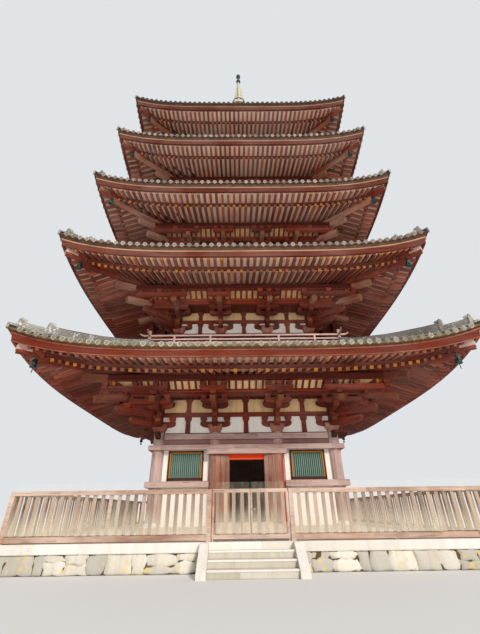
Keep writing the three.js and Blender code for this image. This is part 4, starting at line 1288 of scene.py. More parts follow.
def step_blocks(builder, storey, sizes):
    """Small blocks on and under the arms of every step."""
    half, height = sizes.block_half, 0.15
    small = small_block(half, height)
    for out, level in step_levels(storey):
        centres, halves = arm_spans(storey, out, sizes.arm_half)
        offset = np.array([-1, 0, 1]) * (halves[:, None] - half - 0.01)
        places = (centres[:, None] + offset).ravel()
        builder.add(*stacks(front(places, storey.line + out, level + sizes.arm_height), small))
        builder.add(*stacks(front(storey.columns(), storey.line + out, level - height + 0.02), small))
        corner = diagonal(storey.line + out, level - height)
        builder.add(*stacks(corner, small_block(half * 1.15, height + 0.02), DIAGONAL))


def wall_blocks(builder, storey, sizes):
    """The small blocks on the ends of the arms in the wall's plane."""
    half = sizes.block_half + 0.012
    offset = np.array([-1, 1]) * (sizes.arm_half + 0.08 - half)
    places = (storey.columns()[:, None] + offset).ravel()
    builder.add(*stacks(front(places, storey.line + 0.085, storey.head + 0.41), small_block(half, 0.17)))


def tail_rafters(builder, storey):
    """Tail rafters that slope down and out, straight on every column and longer on the diagonals."""
    out = np.array([0.3, TAIL_REACH + 0.02])
    height = storey.step_height(TAIL_ROOT - TAIL_FALL * out / TAIL_REACH)
    out = storey.line + out
    columns = storey.columns()
    start, end = front(columns, out[0], height[0]), front(columns, out[1], height[1])
    builder.add(*beams(start, end, 0.2, 0.215), painted=True)
    builder.hip(out, height, 0.225, 0.24, painted=True)
    purlin = storey.purlin_top - PURLIN_HEIGHT
    builder.hip(storey.line + np.array([1.0, 2.35]), purlin + np.array([0.32, -0.1]), 0.225, 0.24)


def bracket_course(storey, sizes):
    name, columns = storey.name, storey.columns()
    arms = Builder(80 + storey.index)
    wall_arms(arms, storey, sizes)
    stepped_arms(arms, storey, sizes)
    ties(arms, storey)
    arms.make(f"{name}_bracket_arms", "Timber")
    heads = Builder(310 + storey.index)
    for out, low, tall in posts(storey):
        head = [(0.09, 0.45 * tall), (0.112, 0.54 * tall), (0.112, 0.72 * tall), (0.09, 0.725 * tall)]
        heads.add(*stacks(diagonal(storey.line + out, low), head))
    heads.make(f"{name}_post_heads", "Ochre paint")
    blocks = Builder(85 + storey.index)
    step_blocks(blocks, storey, sizes)
    wall_blocks(blocks, storey, sizes)
    blocks.make(f"{name}_bracket_blocks", "Timber")
    big = Builder(90 + storey.index)
    hollowed = [(0.2, 0.005), (0.21, 0.06), (0.262, 0.14), (0.27, 0.16), (0.27, 0.31)]
    big.add(*stacks(front(columns[:3], storey.line, storey.head), hollowed))
    big.make(f"{name}_big_blocks", "Block timber")
    tails = Builder(95 + storey.index)
    tail_rafters(tails, storey)
    tails.make(f"{name}_tail_rafters", "Tail timber" if storey.index else "Log timber")


class PAGODA_OT_brackets(bpy.types.Operator):
    """Build the blocks, bow arms, ties and tail rafters of every bracket course"""
    bl_idname = "pagoda.brackets"
    bl_label = "Bracket courses"

    def execute(self, context):
        for storey in storeys():
            bracket_course(storey, context.scene.pagoda_timber)
        return {"FINISHED"}


def bracket_plaster(storey):
    """Plaster below and above the wall's tie, and the struts that stand in the bays."""
    name, line, tie = storey.name, storey.line, storey.step_height(0.92)
    # The upper panels take the tan plaster: painted shade with red light reflected from the timber
    for low, high, label, number, plaster in ((storey.head, tie, "lower", 100, "Plaster"),
                                              (tie, storey.purlin_top, "upper", 300, "Cove plaster in painted shade")):
        panels = Builder(number + storey.index)
        panels.level(-line, line, line + 0.082, (low + high) / 2, 0.012, high - low - 0.004)
        panels.make(f"{name}_{label}_panels", plaster, "plaster")
    struts = Builder(105 + storey.index)
    bay = (storey.inner + line) / 2
    tie = tie - storey.head
    for low, height in ((0.0, tie - 0.08), (tie + 0.08, storey.step_height(2.5) - storey.head - tie - 0.1)):
        neck = height - 0.18
        right = [(0.095, 0), (0.085, neck), (0.13, neck + 0.07), (0.14, height)]
        places = front([-bay, 0.0, bay], line + 0.1, storey.head + low)
        struts.add(*plates(mirrored(right), places, (1, 0, 0), 0.07))
    struts.make(f"{name}_struts", "Timber")


def coves(storey):
    """A sloping panel from the second step's tie up to the purlin, with ribs, and a flat ceiling inside."""
    name, line = storey.name, storey.line
    out = line + np.array([STEP_TWO + 0.04, PURLIN_OUT - 0.09])
    low, high = storey.step_height(2.15) + 0.19, storey.purlin_top - 0.1
    share = np.linspace(-1, 1, 3)
    # The cove panels are painted shade: tan on the first storey, darker above it
    panels = Builder(110 + storey.index)
    panels.add(*side_sheet(share, out, np.array([low, high])))
    panels.make(f"{name}_cove_panels", "Shaded plaster" if storey.index else "Cove plaster in painted shade", "plaster")

    ribs = Builder(115 + storey.index)
    rows = centred_rows(out[0], RIB_PITCH)
    ribs.add(*beams(front(rows, out[0], low - 0.01), front(rows, out[1], high - 0.01), 0.075, 0.05))
    ribs.level(-out[0], out[0], out[0], low - 0.06, 0.05, 0.13)
    lines = Builder(320 + storey.index)
    face = out[0] + 0.03
    lines.level(-face, face, face, low - 0.09, 0.02, 0.05)
    lines.make(f"{name}_cove_lines", "Bright red timber")
    # Painted shade: a thin dark facing over the purlin's front, which lies in the eave's shadow
    shade = Builder(305 + storey.index)
    face = line + PURLIN_OUT + PURLIN_HALF + 0.004
    shade.level(-face, face, face, storey.purlin_top - PURLIN_HEIGHT / 2, 0.012, PURLIN_HEIGHT + 0.006)
    shade.make(f"{name}_purlin_painted_shade", "Shaded timber")
    ceiling = storey.step_height(2.15) + 0.14
    flat = line + np.array([0.1, STEP_TWO])
    ribs.add(*side_sheet(share, flat, ceiling))
    rows = centred_rows(line, RIB_PITCH)
    ribs.add(*beams(front(rows, flat[0], ceiling - 0.03), front(rows, flat[1], ceiling - 0.03), 0.05, 0.05))
    ribs.make(f"{name}_ribs", "Timber")


class PAGODA_OT_bracket_walls(bpy.types.Operator):
    """Fill between the brackets with plaster, struts, coves and ceiling boards"""
    bl_idname = "pagoda.bracket_walls"
    bl_label = "Panels between the brackets"

    def execute(self, context):
        for storey in storeys():
            bracket_plaster(storey)
            coves(storey)
        return {"FINISHED"}


def upper_wall(storey, pitch):
    """Sill, head beam and posts of a low wall, its plank doors, barred windows and plaster."""
    name, line, inner, top = storey.name, storey.line, storey.inner, storey.head
    floor, face = storey.base + 0.11, line + 0.06
    low, high = floor + 0.1, top - 0.42
    middle, tall = (low + high) / 2, high - low
    side = inner - UPPER_COLUMN_RADIUS - 0.02
    left, right = inner + 0.32, line - 0.32

    wood = Builder(120 + storey.index)
    for height, deep in ((floor + 0.05, 0.1), (top - 0.09, 0.17)):
        wood.level(-line - 0.35, line + 0.35, face + 0.03, height, 0.16, deep, painted=True)
    wood.level(-line, line, face + 0.02, high + 0.06, 0.1, 0.12)
    for x in (-side + 0.04, side - 0.04):
        wood.upright(x, face + 0.03, low, high, 0.08, 0.1)
    for x in (-left, -right, left, right):
        wood.upright(x, face + 0.02, low, high, 0.06, 0.07)
    wood.make(f"{name}_wall_frame", "Timber")

    doors = Builder(125 + storey.index)
    centre, width = boards_between(-side + 0.08, side - 0.08, 8)
    doors.upright(centre, face + 0.012, low, high, width, 0.03)
    doors.make(f"{name}_wall_doors", "Door timber", "door_timber")

    bars = Builder(130 + storey.index)
    place = np.linspace(left + 0.06, right - 0.06, int((right - left - 0.06) / pitch))
    bars.upright(np.concatenate([-place, place]), face + 0.02, low, high, 0.036, 0.036)
    for sign in (-1, 1):
        bars.level(sign * left, sign * right, face + 0.002, middle, 0.01, tall)
    bars.make(f"{name}_wall_bars", "Green paint")

    plaster = Builder(135 + storey.index)
    start, edge = inner + UPPER_COLUMN_RADIUS, line - UPPER_COLUMN_RADIUS
    for sign in (-1, 1):
        for a, b, height, deep in ((start, left, middle, tall), (right, edge, middle, tall),
                                   (start, edge, top - 0.24, 0.26)):
            plaster.level(sign * a, sign * b, face, height, 0.012, deep)
    plaster.make(f"{name}_wall_plaster", "Plaster", "plaster")


class PAGODA_OT_upper_walls(bpy.types.Operator):
    """Dress the low walls of the upper storeys with sills, plaster, barred windows and plank doors"""
    bl_idname = "pagoda.upper_walls"
    bl_label = "Upper storey walls"

    def execute(self, context):
        for storey in storeys()[1:]:
            upper_wall(storey, context.scene.pagoda_joinery.bar_pitch)
        return {"FINISHED"}


def balcony(storey):
    """Lower rails, posts with caps at the corners, upturned rail ends, and floor boards with their edge."""
    line, rail, floor = storey.line, storey.line + 1.05, storey.base + 0.11
    top = floor + 0.44
    rails = Builder(140 + storey.index)
    for height, wide, deep in ((floor + 0.06, 0.09, 0.09), (floor + 0.23, 0.05, 0.06)):
        rails.level(-rail - 0.16, rail + 0.16, rail, height, wide, deep, painted=True)
    rails.upright(np.array([-line, line]), rail, floor, top - 0.05, 0.075, 0.075)
    cap = [(0.05, 0.0), (0.05, 0.13), (0.066, 0.15), (0.066, 0.17), (0.045, 0.2), (0.02, 0.23)]
    rails.add(*stacks(front(rail, rail, top - 0.02), cap))
    share = np.linspace(0, 1, 6)
    for sign in (-1, 1):
        centres = front(sign * (rail + 0.2 + 0.22 * share), rail, top - 0.035 + 0.1 * share ** 2)
        for k in range(len(share) - 1):
            thick = 0.06 - 0.003 * k
            rails.add(*beams(centres[k], centres[k + 1], thick, thick))
    rails.make(f"{storey.name}_rails", "Pale timber")
    boards = Builder(145 + storey.index)
    place = front(centred_rows(line + 0.9, 0.19), line + 0.7, 0)
    boards.add(*slabs(place, 0.092, 0.39, floor - 0.01, floor + 0.012, 0.004))
    edge = slabs(front(0, line + 1.075, 0), line + 1.105, 0.03, storey.base + 0.005, floor + 0.02, 0.005)
    boards.add(*edge)
    boards.make(f"{storey.name}_balcony_boards", "Pale timber")


class PAGODA_OT_balconies(bpy.types.Operator):
    """Finish the balconies: floor boards, lower rails, posts and upturned rail ends"""
    bl_idname = "pagoda.balconies"
    bl_label = "Balconies"

    def execute(self, context):
        for storey in storeys()[1:]:
            balcony(storey)
        return {"FINISHED"}


def first_windows(storey, pitch):
    """Ochre frames, dark jambs, green bars and their backs, and the boards over the lintel beam."""
    left, right = storey.inner + FIRST_COLUMN_RADIUS + 0.245, storey.line - FIRST_COLUMN_RADIUS - 0.245
    low, high = WINDOW_HEIGHTS
    face, middle = storey.line + 0.0575, storey.line + 0.01
    ochre, jambs = Builder(150), Builder(151)
    for sign in (-1, 1):
        for x in (left + 0.022, right - 0.022):
            ochre.upright(sign * x, face, low, high, 0.038, 0.06)
        ochre.level(sign * (left + 0.044), sign * (right - 0.044), face, high - 0.022, 0.06, 0.044)
        for x in (left - 0.028, right + 0.028):
            jambs.upright(sign * x, face + 0.01, low - 0.07, high + 0.055, 0.058, 0.07)
        for height, deep in ((high + 0.024, 0.05), (low, 0.09)):
            jambs.level(sign * (left - 0.02), sign * (right + 0.02), face + 0.01, height, 0.07, deep)
    jambs.make("window_jambs", "Dark boards")
    ochre.make("window_frames", "Ochre paint")

    bars, backs = Builder(152), Builder(158)
    place = np.linspace(left + 0.08, right - 0.08, int((right - left - 0.16) / pitch) + 1)
    bars.upright(np.concatenate([-place, place]), middle, low + 0.03, high - 0.03, 0.042, 0.042)
    bars.make("window_bars", "Green paint")
    for sign in (-1, 1):
        backs.level(sign * (left + 0.02), sign * (right - 0.02), middle - 0.035, (low + high) / 2,
                    0.012, high - low - 0.04)
    backs.make("window_backs", "Dark green paint")

    # The boards over the lintel beam are darker and greyer, as painted shade of their recess under the eave
    boards = Builder(159)
    a, b = storey.inner + FIRST_COLUMN_RADIUS - 0.05, storey.line - FIRST_COLUMN_RADIUS + 0.05
    for start, end in ((-b, -a), (-a, a), (a, b)):
        boards.level(start, end, storey.line + 0.12, 3.565, 0.02, 0.2)
    boards.make("head_boards", "Head boards in painted shade", "pale_timber")


def doorways(storey):
    """The painted strip over every doorway, and the closed plank doors of the three other sides."""
    strip = Builder(153)
    strip.level(-0.635, 0.635, storey.line + 0.222, 3.037, 0.014, 0.165)
    strip.make("doorway_strips", "Vermilion paint")
    planks, studs = Builder(154), Builder(155)
    shut = storey.line + DOOR_AXIS_OUT + 0.032
    centre, width = boards_between(-0.755, 0.755, 8)
    planks.upright(centre, shut, 0.99, 3.085, width, 0.02, turns=OTHER_SIDES)
    x, z = np.meshgrid(centre, STUD_HEIGHTS)
    dome = [(0.034, 0), (0.03, 0.014), (0.016, 0.024), (0.004, 0.027)]
    studs.add(*rounds(dome, 10, front(x.ravel(), shut + 0.01, z.ravel()), (0, -1, 0)), turns=OTHER_SIDES)
    planks.make("closed_doors", "Door timber", "door_timber")
    studs.make("door_studs", "Bronze", "bronze")


def beam_noses(storey):
    """The head ties run on past the corner columns and end in a small upward curve."""
    noses = Builder(156)
    outline = [(0, 0.0), (0.24, 0.0), (0.4, 0.06), (0.46, 0.14), (0.46, 0.22), (0, 0.22)]
    other_way = [(-x, z) for x, z in reversed(outline)]
    for sign, shape in ((1, outline), (-1, other_way)):
        place = front(sign * (storey.line + 0.12), storey.line, storey.head - 0.24)
        noses.add(*plates(shape, place, (1, 0, 0), 0.15))
    noses.make("beam_noses", "Dark boards")


def column_feet(storey):
    feet = Builder(157)
    ring = [(0.3, 0.0), (0.3, 0.03), (0.27, 0.06), (0.235, 0.07), (0.235, 0.11), (0.225, 0.12)]
    feet.add(*rounds(ring, 24, front(storey.columns()[:3], storey.line, 0.86)))
    feet.make("column_feet", "Granite", "granite")


class PAGODA_OT_first_storey(bpy.types.Operator):
    """Build the first storey's windows, doorway strips, closed doors, beam noses and column feet"""
    bl_idname = "pagoda.first_storey"
    bl_label = "First storey"

    def execute(self, context):
        storey = Storey(0)
        first_windows(storey, context.scene.pagoda_joinery.bar_pitch)
        doorways(storey)
        beam_noses(storey)
        column_feet(storey)
        return {"FINISHED"}


def door_leaf(number, side, sign, degrees, plank_width):
    """One leaf: planks on both faces and a stile on its free edge, turned about its hinge."""
    pivot = np.array([sign * DOOR_AXIS_X, -(Storey(0).line + DOOR_AXIS_OUT), 0.0])
    spin = np.array(Matrix.Rotation(np.radians(degrees), 3, "Z")).T
    stile = STILE_WIDTH[side]

    def add(builder, along, out, low, tall, width, depth):
        start = np.stack(np.broadcast_arrays(along, out, low), -1)
        points, faces, _ = beams(start, start + (0, 0, tall), width, depth)
        builder.add(points @ spin + pivot, faces, (0, 0, 1), turns=FRONT_SIDE)

    planks, edge = Builder(160 + number), Builder(163 + number)
    count = int(round((DOOR_REACH + 0.02) / plank_width))
    centre, width = boards_between(-0.018, DOOR_REACH + 0.005 - stile, count)
    for out in (-0.034, 0.034):
        add(planks, sign * centre, out, 0.992, 2.09, width, 0.012)
    planks.make(f"door_planks_{side}", "Door timber", "door_timber", body=f"door_{side}")
    add(edge, [sign * (DOOR_REACH + 0.002 - stile / 2)], 0.0, 0.99, 2.095, stile, 0.084)
    edge.make(f"door_edge_{side}", STILE_FINISH[side], "door_timber", body=f"door_{side}")


class PAGODA_OT_doors(bpy.types.Operator):
    """Plank the two open front door leaves, which ride on their own hinges"""
    bl_idname = "pagoda.doors"
    bl_label = "Front door leaves"

    def execute(self, context):
        width = context.scene.pagoda_joinery.plank_width
        door_leaf(0, "left", -1, 4.0, width)
        door_leaf(1, "right", 1, -18.0, width)
        return {"FINISHED"}


def pale_places(start, end, bays, pitch):
    """Even places between posts, which stand at the ends of equal bays."""
    count = int(round((end - start) / bays / pitch))
    number = np.arange(count * bays + 1)
    return (start + (end - start) * number / (count * bays))[number % count > 0]


class PAGODA_OT_fence(bpy.types.Operator):
    """Set the pales of the fence and of its two gate leaves, the clear sheets before them, and the latch"""
    bl_idname = "pagoda.fence"
    bl_label = "Fence"

    def execute(self, context):
        sizes = context.scene.pagoda_joinery
        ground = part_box("podium_coping")[1].z
        low, high = ground + 0.14, ground + 1.12
        face, middle = FENCE_LINE + 0.075, ground + 0.78
        wide, pitch = sizes.pale_width, sizes.pale_pitch

        def sheet(number, name, spans, out, body=TOWER):
            builder = Builder(number)
            for start, end in spans:
                builder.level(start, end, out, middle, 0.006, 1.2, turns=FRONT_SIDE)
            builder.make(name, "Clear sheet", "fence_timber", body=body)

        pales = Builder(170)
        place = pale_places(GATE_POST_X, FENCE_LINE, 2, pitch)
        place = np.concatenate([-place, place])
        pales.upright(place, FENCE_LINE, low, high, wide, 0.03, turns=FRONT_SIDE)
        place = pale_places(-FENCE_LINE, FENCE_LINE, 5, pitch)
        pales.upright(place, FENCE_LINE, low, high, wide, 0.03, turns=OTHER_SIDES)
        pales.make("fence_pales", "Fence timber", "fence_timber")
        end = FENCE_LINE - 0.07
        sheet(173, "clear_sheet", ((-end, -1.15), (1.15, end)), face)
        for number, (side, sign) in enumerate((("left", -1), ("right", 1))):
            leaf = Builder(171 + number)
            place = sign * (GATE_POST_X - pitch * np.arange(1, 5))
            leaf.upright(place, FENCE_LINE, low, high + 0.02, wide, 0.03, turns=FRONT_SIDE)
            leaf.make(f"gate_pales_{side}", "Fence timber", "fence_timber", body=f"gate_leaf_{side}")
            span = (sign * 0.02, sign * 0.92)
            sheet(175 + number, f"clear_sheet_{side}", (span,), face - 0.015, f"gate_leaf_{side}")
        latch = Builder(174)
        level = ground + 0.72
        latch.level(0.03, 0.2, FENCE_LINE + 0.035, level, 0.024, 0.05, turns=FRONT_SIDE)
        knob = [(0.02, 0), (0.02, 0.03), (0.014, 0.045), (0.004, 0.048)]
        latch.add(*rounds(knob, 12, front(0.16, FENCE_LINE + 0.045, level), (0, -1, 0)), turns=FRONT_SIDE)
        latch.make("gate_latch", "Bronze", "bronze", body="gate_leaf_right")
        return {"FINISHED"}


def rubble(length):
    """Rounded stones of many sizes: a square grid over each stone whose corners are drawn in, as each
    direction is scaled by the root of one minus a twelfth of the other's square, and which bulges as the
    root of the product of one minus the sixth powers of both."""
    builder = Builder(180)
    random = np.random.default_rng(bpy.context.scene.pagoda_stage.seed + 5)
    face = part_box("podium_masonry")[1].x - 0.01
    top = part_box("podium_coping")[0].z
    grid = np.sin(np.linspace(-np.pi / 2, np.pi / 2, 9))
    a, b = np.meshgrid(grid, grid[::-1], indexing="ij")
    a, b = a.ravel(), b.ravel()
    bulge = np.sqrt((1 - a ** 6) * (1 - b ** 6))
    round_a, round_b = a * np.sqrt(1 - b ** 2 / 12), b * np.sqrt(1 - a ** 2 / 12)
    count = int(2 * face / length)
    for turn in ALL_SIDES:
        joints = np.linspace(-face, face, count + 1)
        joints[1:-1] += random.uniform(-0.32, 0.32, count - 1) * length
        split = random.random(count) < 0.55
        level = np.where(split, random.uniform(0.35, 0.65, count), 1) * top
        shifted = joints + random.uniform(-0.1, 0.1, count + 1) * length
        left = np.concatenate([joints[:-1], shifted[:-1][split]])[:, None]
        right = np.concatenate([joints[1:], shifted[1:][split]])[:, None]
        bottom = np.concatenate([np.zeros(count), level[split]])[:, None]
        high = np.concatenate([level, np.full(split.sum(), top)])[:, None]
        skew, tilt = random.uniform(-0.16, 0.16, (2, len(left), 1))
        deep = random.uniform(0.035, 0.075, (len(left), 1))
        phase = random.uniform(0, 6.28, (len(left), 1))
        x = (right + left) / 2 + (right - left) / 2 * 1.1 * (round_a + skew * b * (1 - a * a))
        x = x + a * (0.03 * np.sin(3 * b + phase) + 0.012 * np.sin(7 * b + 2 * phase))
        z = (high + bottom) / 2 + (high - bottom) / 2 * 1.12 * (round_b + tilt * a * (1 - b * b))
        z = z + b * (0.026 * np.sin(4 * a + phase) + 0.01 * np.sin(9 * a + 2 * phase))
        wave = 0.012 * np.sin(9 * x + 7 * z) + 0.008 * np.sin(21 * x - 17 * z + phase)
        out = face + (deep + wave) * bulge - 0.015
        builder.add(front(x, out, np.maximum(z, 0.004)), open_faces(9, 9), (1, 0, 0), turns=(turn,))
    builder.make("rubble_stones", "Rubble", "rubble", sharp=80)


def coping(length):
    """Stones in one row round the podium's edge, each side ending at the next one's first stone."""
    builder = Builder(181)
    low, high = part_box("podium_coping")
    outer, width = high.x, 0.62
    joints = np.linspace(-outer, outer - width, int(round((2 * outer - width) / length)) + 1)
    centre = front((joints[1:] + joints[:-1]) / 2, outer - width / 2, 0)
    half = (joints[1] - joints[0]) / 2 - 0.004
    builder.add(*slabs(centre, half, width / 2 + 0.005, low.z + 0.003, high.z + 0.005, 0.014))
    builder.make("coping_stones", "Granite", "granite")


def steps():
    """Three stones on every step, with joints that move from step to step, and a nose along its edge."""
    stones, noses = Builder(182), Builder(184)
    low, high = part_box("front_steps")
    tread, rise = STEP_RUN / 3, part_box("podium_coping")[1].z / 4
    half = (high.x - low.x) / 6 - 0.003
    for step in range(3):
        out, shift = -low.y - step * tread, 0.06 * (-1) ** step
        joint = shift + half + 0.003, shift - half - 0.003
        spans = ((shift - half, shift + half), (low.x + 0.003, joint[1] - 0.003),
                 (joint[0] + 0.003, high.x - 0.003))
        for start, end in spans:
            place = front((start + end) / 2, out - tread / 2 - 0.006, 0)
            stones.add(*slabs(place, (end - start) / 2, tread / 2 + 0.012, step * rise + 0.004,
                              (step + 1) * rise + 0.006, 0.012), turns=FRONT_SIDE)
        top = (step + 1) * rise + 0.012
        noses.add(*slabs(front(0, out - 0.05, 0), high.x - 0.004, 0.072, top - 0.045, top, 0.01),
                  turns=FRONT_SIDE)
    stones.make("step_stones", "Step stone", "granite")
    noses.make("step_noses", "Granite", "granite")


def paving(side):
    """Square slabs on the podium, left out under the first storey's floor."""
    builder = Builder(183)
    count = int(PAVING_REACH / side)
    place = (np.arange(-count, count) + 0.5) * (PAVING_REACH / count)
    x, y = [values.ravel() for values in np.meshgrid(place, place)]
    keep = np.maximum(np.abs(x), np.abs(y)) > FLOOR_REACH
    centres = np.stack([x[keep], y[keep], np.zeros(keep.sum())], -1)
    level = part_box("podium_coping")[1].z
    half = PAVING_REACH / 2 / count - 0.004
    builder.add(*slabs(centres, half, half, level - 0.02, level + 0.004, 0.006), turns=FRONT_SIDE)
    builder.make("paving_slabs", "Granite", "granite")


class PAGODA_OT_podium(bpy.types.Operator):
    """Face the podium with rubble, and lay its coping, steps and paving"""
    bl_idname = "pagoda.podium"
    bl_label = "Podium"

    def execute(self, context):
        sizes = context.scene.pagoda_stones
        rubble(sizes.rubble_length)
        coping(sizes.coping_length)
        steps()
        paving(sizes.slab)
        return {"FINISHED"}


class PAGODA_OT_bells(bpy.types.Operator):
    """Hang a wind bell under every roof corner"""
    bl_idname = "pagoda.bells"
    bl_label = "Wind bells"

    def execute(self, context):
        bells = Builder(190)
        bell = [(0.105, 0.0), (0.108, 0.02), (0.092, 0.05), (0.085, 0.2), (0.07, 0.27), (0.035, 0.3),
                (0.014, 0.31)]
        rod, clapper = [(0.01, 0.3), (0.01, 0.4)], [(0.008, -0.05), (0.008, 0.05)]
        ring = [(0.028, 0.335), (0.034, 0.345), (0.034, 0.365), (0.028, 0.375)]
        vane = mirrored([(0.05, -0.17), (0.055, -0.1), (0.03, -0.04)])
        for storey in storeys():
            out = storey.edge - 0.56
            centre = diagonal(out, storey.upper_tier(out, out) - 0.73)
            for profile, segments in ((bell, 16), (rod, 8), (ring, 10), (clapper, 6)):
                bells.add(*rounds(profile, segments, centre))
            bells.add(*plates(vane, centre, (1, 1, 0), 0.01))
        bells.make("wind_bells", "Verdigris", "bronze")
        return {"FINISHED"}


def around(count, start=0.0):
    """Level directions at an even spacing round the axis."""
    angle = start + 2 * np.pi * np.arange(count) / count
    return np.stack([np.cos(angle), np.sin(angle), 0 * angle], -1)


def petals(builder, base, inner, outer, height, count):
    """Lotus petals: a strip that opens outwards, as wide as a sine of the way along it."""
    share = np.linspace(0, 1, 7)
    radius = inner + (outer - inner) * share ** 0.8
    level = base + height * share ** 1.6
    width = 0.105 * np.sin(np.pi * np.clip(share * 0.85 + 0.12, 0, 1))
    radial = around(count)
    tangent = np.stack([-radial[:, 1], radial[:, 0], radial[:, 2]], -1)
    side = tangent[:, None, None] * (width[:, None] * np.array([1.0, 0.0, -1.0]))[..., None]
    up = (level[:, None] + np.array([0.0, -0.02, 0.0]))[..., None] * np.array([0, 0, 1.0])
    points = (radial[:, None, None] * radius[:, None, None] + side + up).reshape(count, -1, 3)
    builder.add(points, open_faces(3, 7), radial, turns=FRONT_SIDE)
    inside = points - radial[:, None] * 0.012 + (0, 0, 0.012)
    reverse = [group[:, ::-1] for group in open_faces(3, 7)]
    builder.add(inside, reverse, radial, turns=FRONT_SIDE)


def rings(rims, bells):
    """Round mouldings over the rings' rims, spokes, and eight small bells under each ring."""
    segments = 48
    following = np.roll(np.arange(segments), -1)
    for number in range(RING_COUNT):
        height = RING_HEIGHTS[0] + number * (RING_HEIGHTS[1] - RING_HEIGHTS[0]) / (RING_COUNT - 1)
        radius = 0.84 - 0.034 * number
        rim = [(radius - 0.118, -0.068), (radius + 0.008, -0.068), (radius + 0.018, 0.0),
               (radius + 0.008, 0.068), (radius - 0.118, 0.068)]
        points, faces, axis = rounds(rim, segments, (0, 0, height))
        last = (len(rim) - 1) * segments
        wall = np.stack([last + following, last + np.arange(segments), np.arange(segments), following], -1)
        rims.add(points, [faces[0], wall], axis, turns=FRONT_SIDE)
        direction, lift = around(8, np.pi / 8), np.array([0, 0, height])
        spokes = beams(direction * 0.12 + lift, direction * (radius - 0.1) + lift, 0.035, 0.045)
        rims.add(*spokes, turns=FRONT_SIDE)
        bell = [(0.042, 0.0), (0.036, 0.02), (0.03, 0.075), (0.008, 0.1)]
        bells.add(*rounds(bell, 10, direction * (radius - 0.03) + lift - (0, 0, 0.165)), turns=FRONT_SIDE)


class PAGODA_OT_spire(bpy.types.Operator):
    """Finish the spire: base mouldings, lotus petals, ring mouldings and their small bells"""
    bl_idname = "pagoda.spire"
    bl_label = "Spire"

    def execute(self, context):
        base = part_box("spire_base")[0].z
        spire, rims, bells = Builder(200), Builder(201), Builder(202)
        for height, half in ((base + 0.04, 0.775), (base + 0.43, 0.77)):
            moulding = [(half - 0.02, 0), (half, 0.012), (half, 0.05), (half - 0.02, 0.062)]
            spire.add(*stacks((0, 0, height), moulding), turns=FRONT_SIDE)
        bowl = [(0.645, 0.6), (0.655, 0.64), (0.648, 0.72), (0.612, 0.86), (0.53, 0.98), (0.44, 1.065),
                (0.2, 1.12)]
        spire.add(*rounds(bowl, 48, (0, 0, base)), turns=FRONT_SIDE)
        petals(spire, base + 1.12, 0.34, 0.74, 0.28, 16)
        petals(spire, base + 1.1, 0.3, 0.62, 0.2, 16)
        spire.make("spire_mouldings", "Bronze", "bronze", sharp=40)
        rings(rims, bells)
        rims.make("spire_rims", "Gilt bronze", "bronze", sharp=40)
        bells.make("spire_bells", "Verdigris", "bronze", sharp=40)
        return {"FINISHED"}


def plain_floor(colour):
    mesh = bpy.data.meshes.new("floor")
    corners = [(x * FLOOR_SIZE, y * FLOOR_SIZE, FLOOR_LEVEL) for x, y in ((-1, -1), (1, -1), (1, 1), (-1, 1))]
    mesh.from_pydata(corners, [], [(0, 1, 2, 3)])
    finish = Finish("Floor")
    finish.shader.inputs["Base Color"].default_value = opaque(colour)
    finish.shader.inputs["Roughness"].default_value = 0.95
    mesh.materials.append(finish.material)
    floor = link("floor", mesh)


def soft_light(settings):
    """A white sky, a soft sun from the front right, and a wide soft light that comes up from the ground."""
    world = bpy.data.worlds.new("Soft sky")
    world.use_nodes = True
    sky = world.node_tree.nodes["Background"]
    sky.inputs[0].default_value = (0.94, 0.97, 1.0, 1)
    sky.inputs[1].default_value = settings.sky
    bpy.context.scene.world = world
    lamp = bpy.data.lights.new("Soft sun", "SUN")
    lamp.energy = settings.sun
    lamp.angle = np.radians(9)
    lamp.color = (1.0, 0.96, 0.9)
    link("Soft sun", lamp).rotation_euler = (np.radians(63), 0, np.radians(24))
    panel = bpy.data.lights.new("Fill", "AREA")
    panel.shape = "RECTANGLE"
    panel.size = 26
    panel.size_y = 28
    panel.energy = settings.fill
    panel.color = (1.0, 0.95, 0.88)
    fill = link("Fill", panel)
    fill.location = (0, -26, 0.05)
    fill.rotation_euler = (np.radians(180), 0, 0)
    fill.visible_camera = False
    bpy.context.scene.view_settings.view_transform = "Standard"


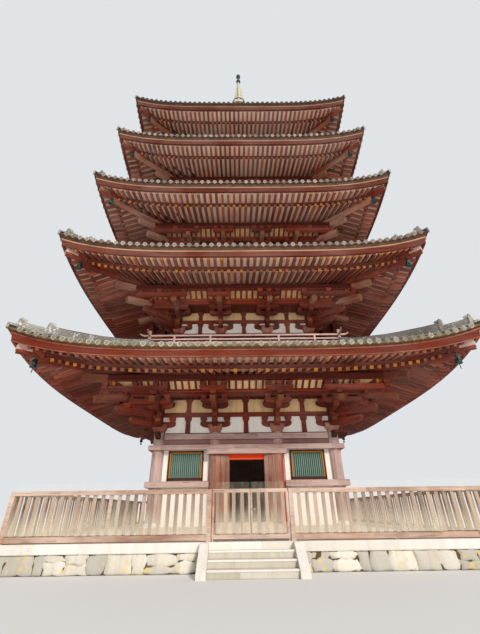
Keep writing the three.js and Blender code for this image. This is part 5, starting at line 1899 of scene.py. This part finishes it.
def viewing_camera():
    """Camera that looks up at the front: turned a little right, tilted up, and rolled slightly."""
    turn, tilt, roll = np.radians(CAMERA_TURNS)
    forward = np.array([np.sin(turn) * np.cos(tilt), np.cos(turn) * np.cos(tilt), np.sin(tilt)])
    level = np.array([np.cos(turn), -np.sin(turn), 0])
    upright = np.cross(level, forward)
    right = np.cos(roll) * level + np.sin(roll) * upright
    up = -np.sin(roll) * level + np.cos(roll) * upright
    data = bpy.data.cameras.new("Camera")
    data.sensor_width = SENSOR
    data.lens = FOCAL_PIXELS * SENSOR / FRAME_HEIGHT
    data.clip_end = 500
    camera = link("Camera", data)
    axes = np.stack([right, up, -forward, CAMERA_PLACE], -1)
    camera.matrix_world = Matrix(np.vstack([axes, (0, 0, 0, 1)]).tolist())
    bpy.context.scene.camera = camera


class PAGODA_OT_stage(bpy.types.Operator):
    """Set the plain floor, the soft light and the camera at the viewing angle"""
    bl_idname = "pagoda.stage"
    bl_label = "Stage and camera"

    def execute(self, context):
        settings = context.scene.pagoda_stage
        plain_floor(settings.floor)
        soft_light(settings)
        viewing_camera()
        return {"FINISHED"}


STEPS = (
    PAGODA_OT_finishes, PAGODA_OT_frame_finishes, PAGODA_OT_roof_tiles, PAGODA_OT_ridges, PAGODA_OT_eaves,
    PAGODA_OT_brackets, PAGODA_OT_bracket_walls, PAGODA_OT_upper_walls, PAGODA_OT_balconies,
    PAGODA_OT_first_storey, PAGODA_OT_doors, PAGODA_OT_fence, PAGODA_OT_podium, PAGODA_OT_bells,
    PAGODA_OT_spire, PAGODA_OT_stage,
)


class PAGODA_PT_panel(bpy.types.Panel):
    """Sizes, colours and building steps of the pagoda"""
    bl_label = "Pagoda"
    bl_idname = "PAGODA_PT_panel"
    bl_space_type = "VIEW_3D"
    bl_region_type = "UI"
    bl_category = "Pagoda"

    def draw(self, context):
        for step in STEPS:
            self.layout.operator(step.bl_idname)
        for name, group in PROPERTY_GROUPS.items():
            box = self.layout.box()
            for setting in group.__annotations__:
                box.prop(getattr(context.scene, name), setting)


CLASSES = tuple(PROPERTY_GROUPS.values()) + STEPS + (PAGODA_PT_panel,)


def register():
    for found in CLASSES:
        bpy.utils.register_class(found)
    for name, group in PROPERTY_GROUPS.items():
        setattr(bpy.types.Scene, name, PointerProperty(type=group))


def unregister():
    for name in PROPERTY_GROUPS:
        delattr(bpy.types.Scene, name)
    for found in reversed(CLASSES):
        bpy.utils.unregister_class(found)


def main():
    register()
    for step in STEPS:
        family, name = step.bl_idname.split(".")
        getattr(getattr(bpy.ops, family), name)()


if __name__ == "__main__":
    main()
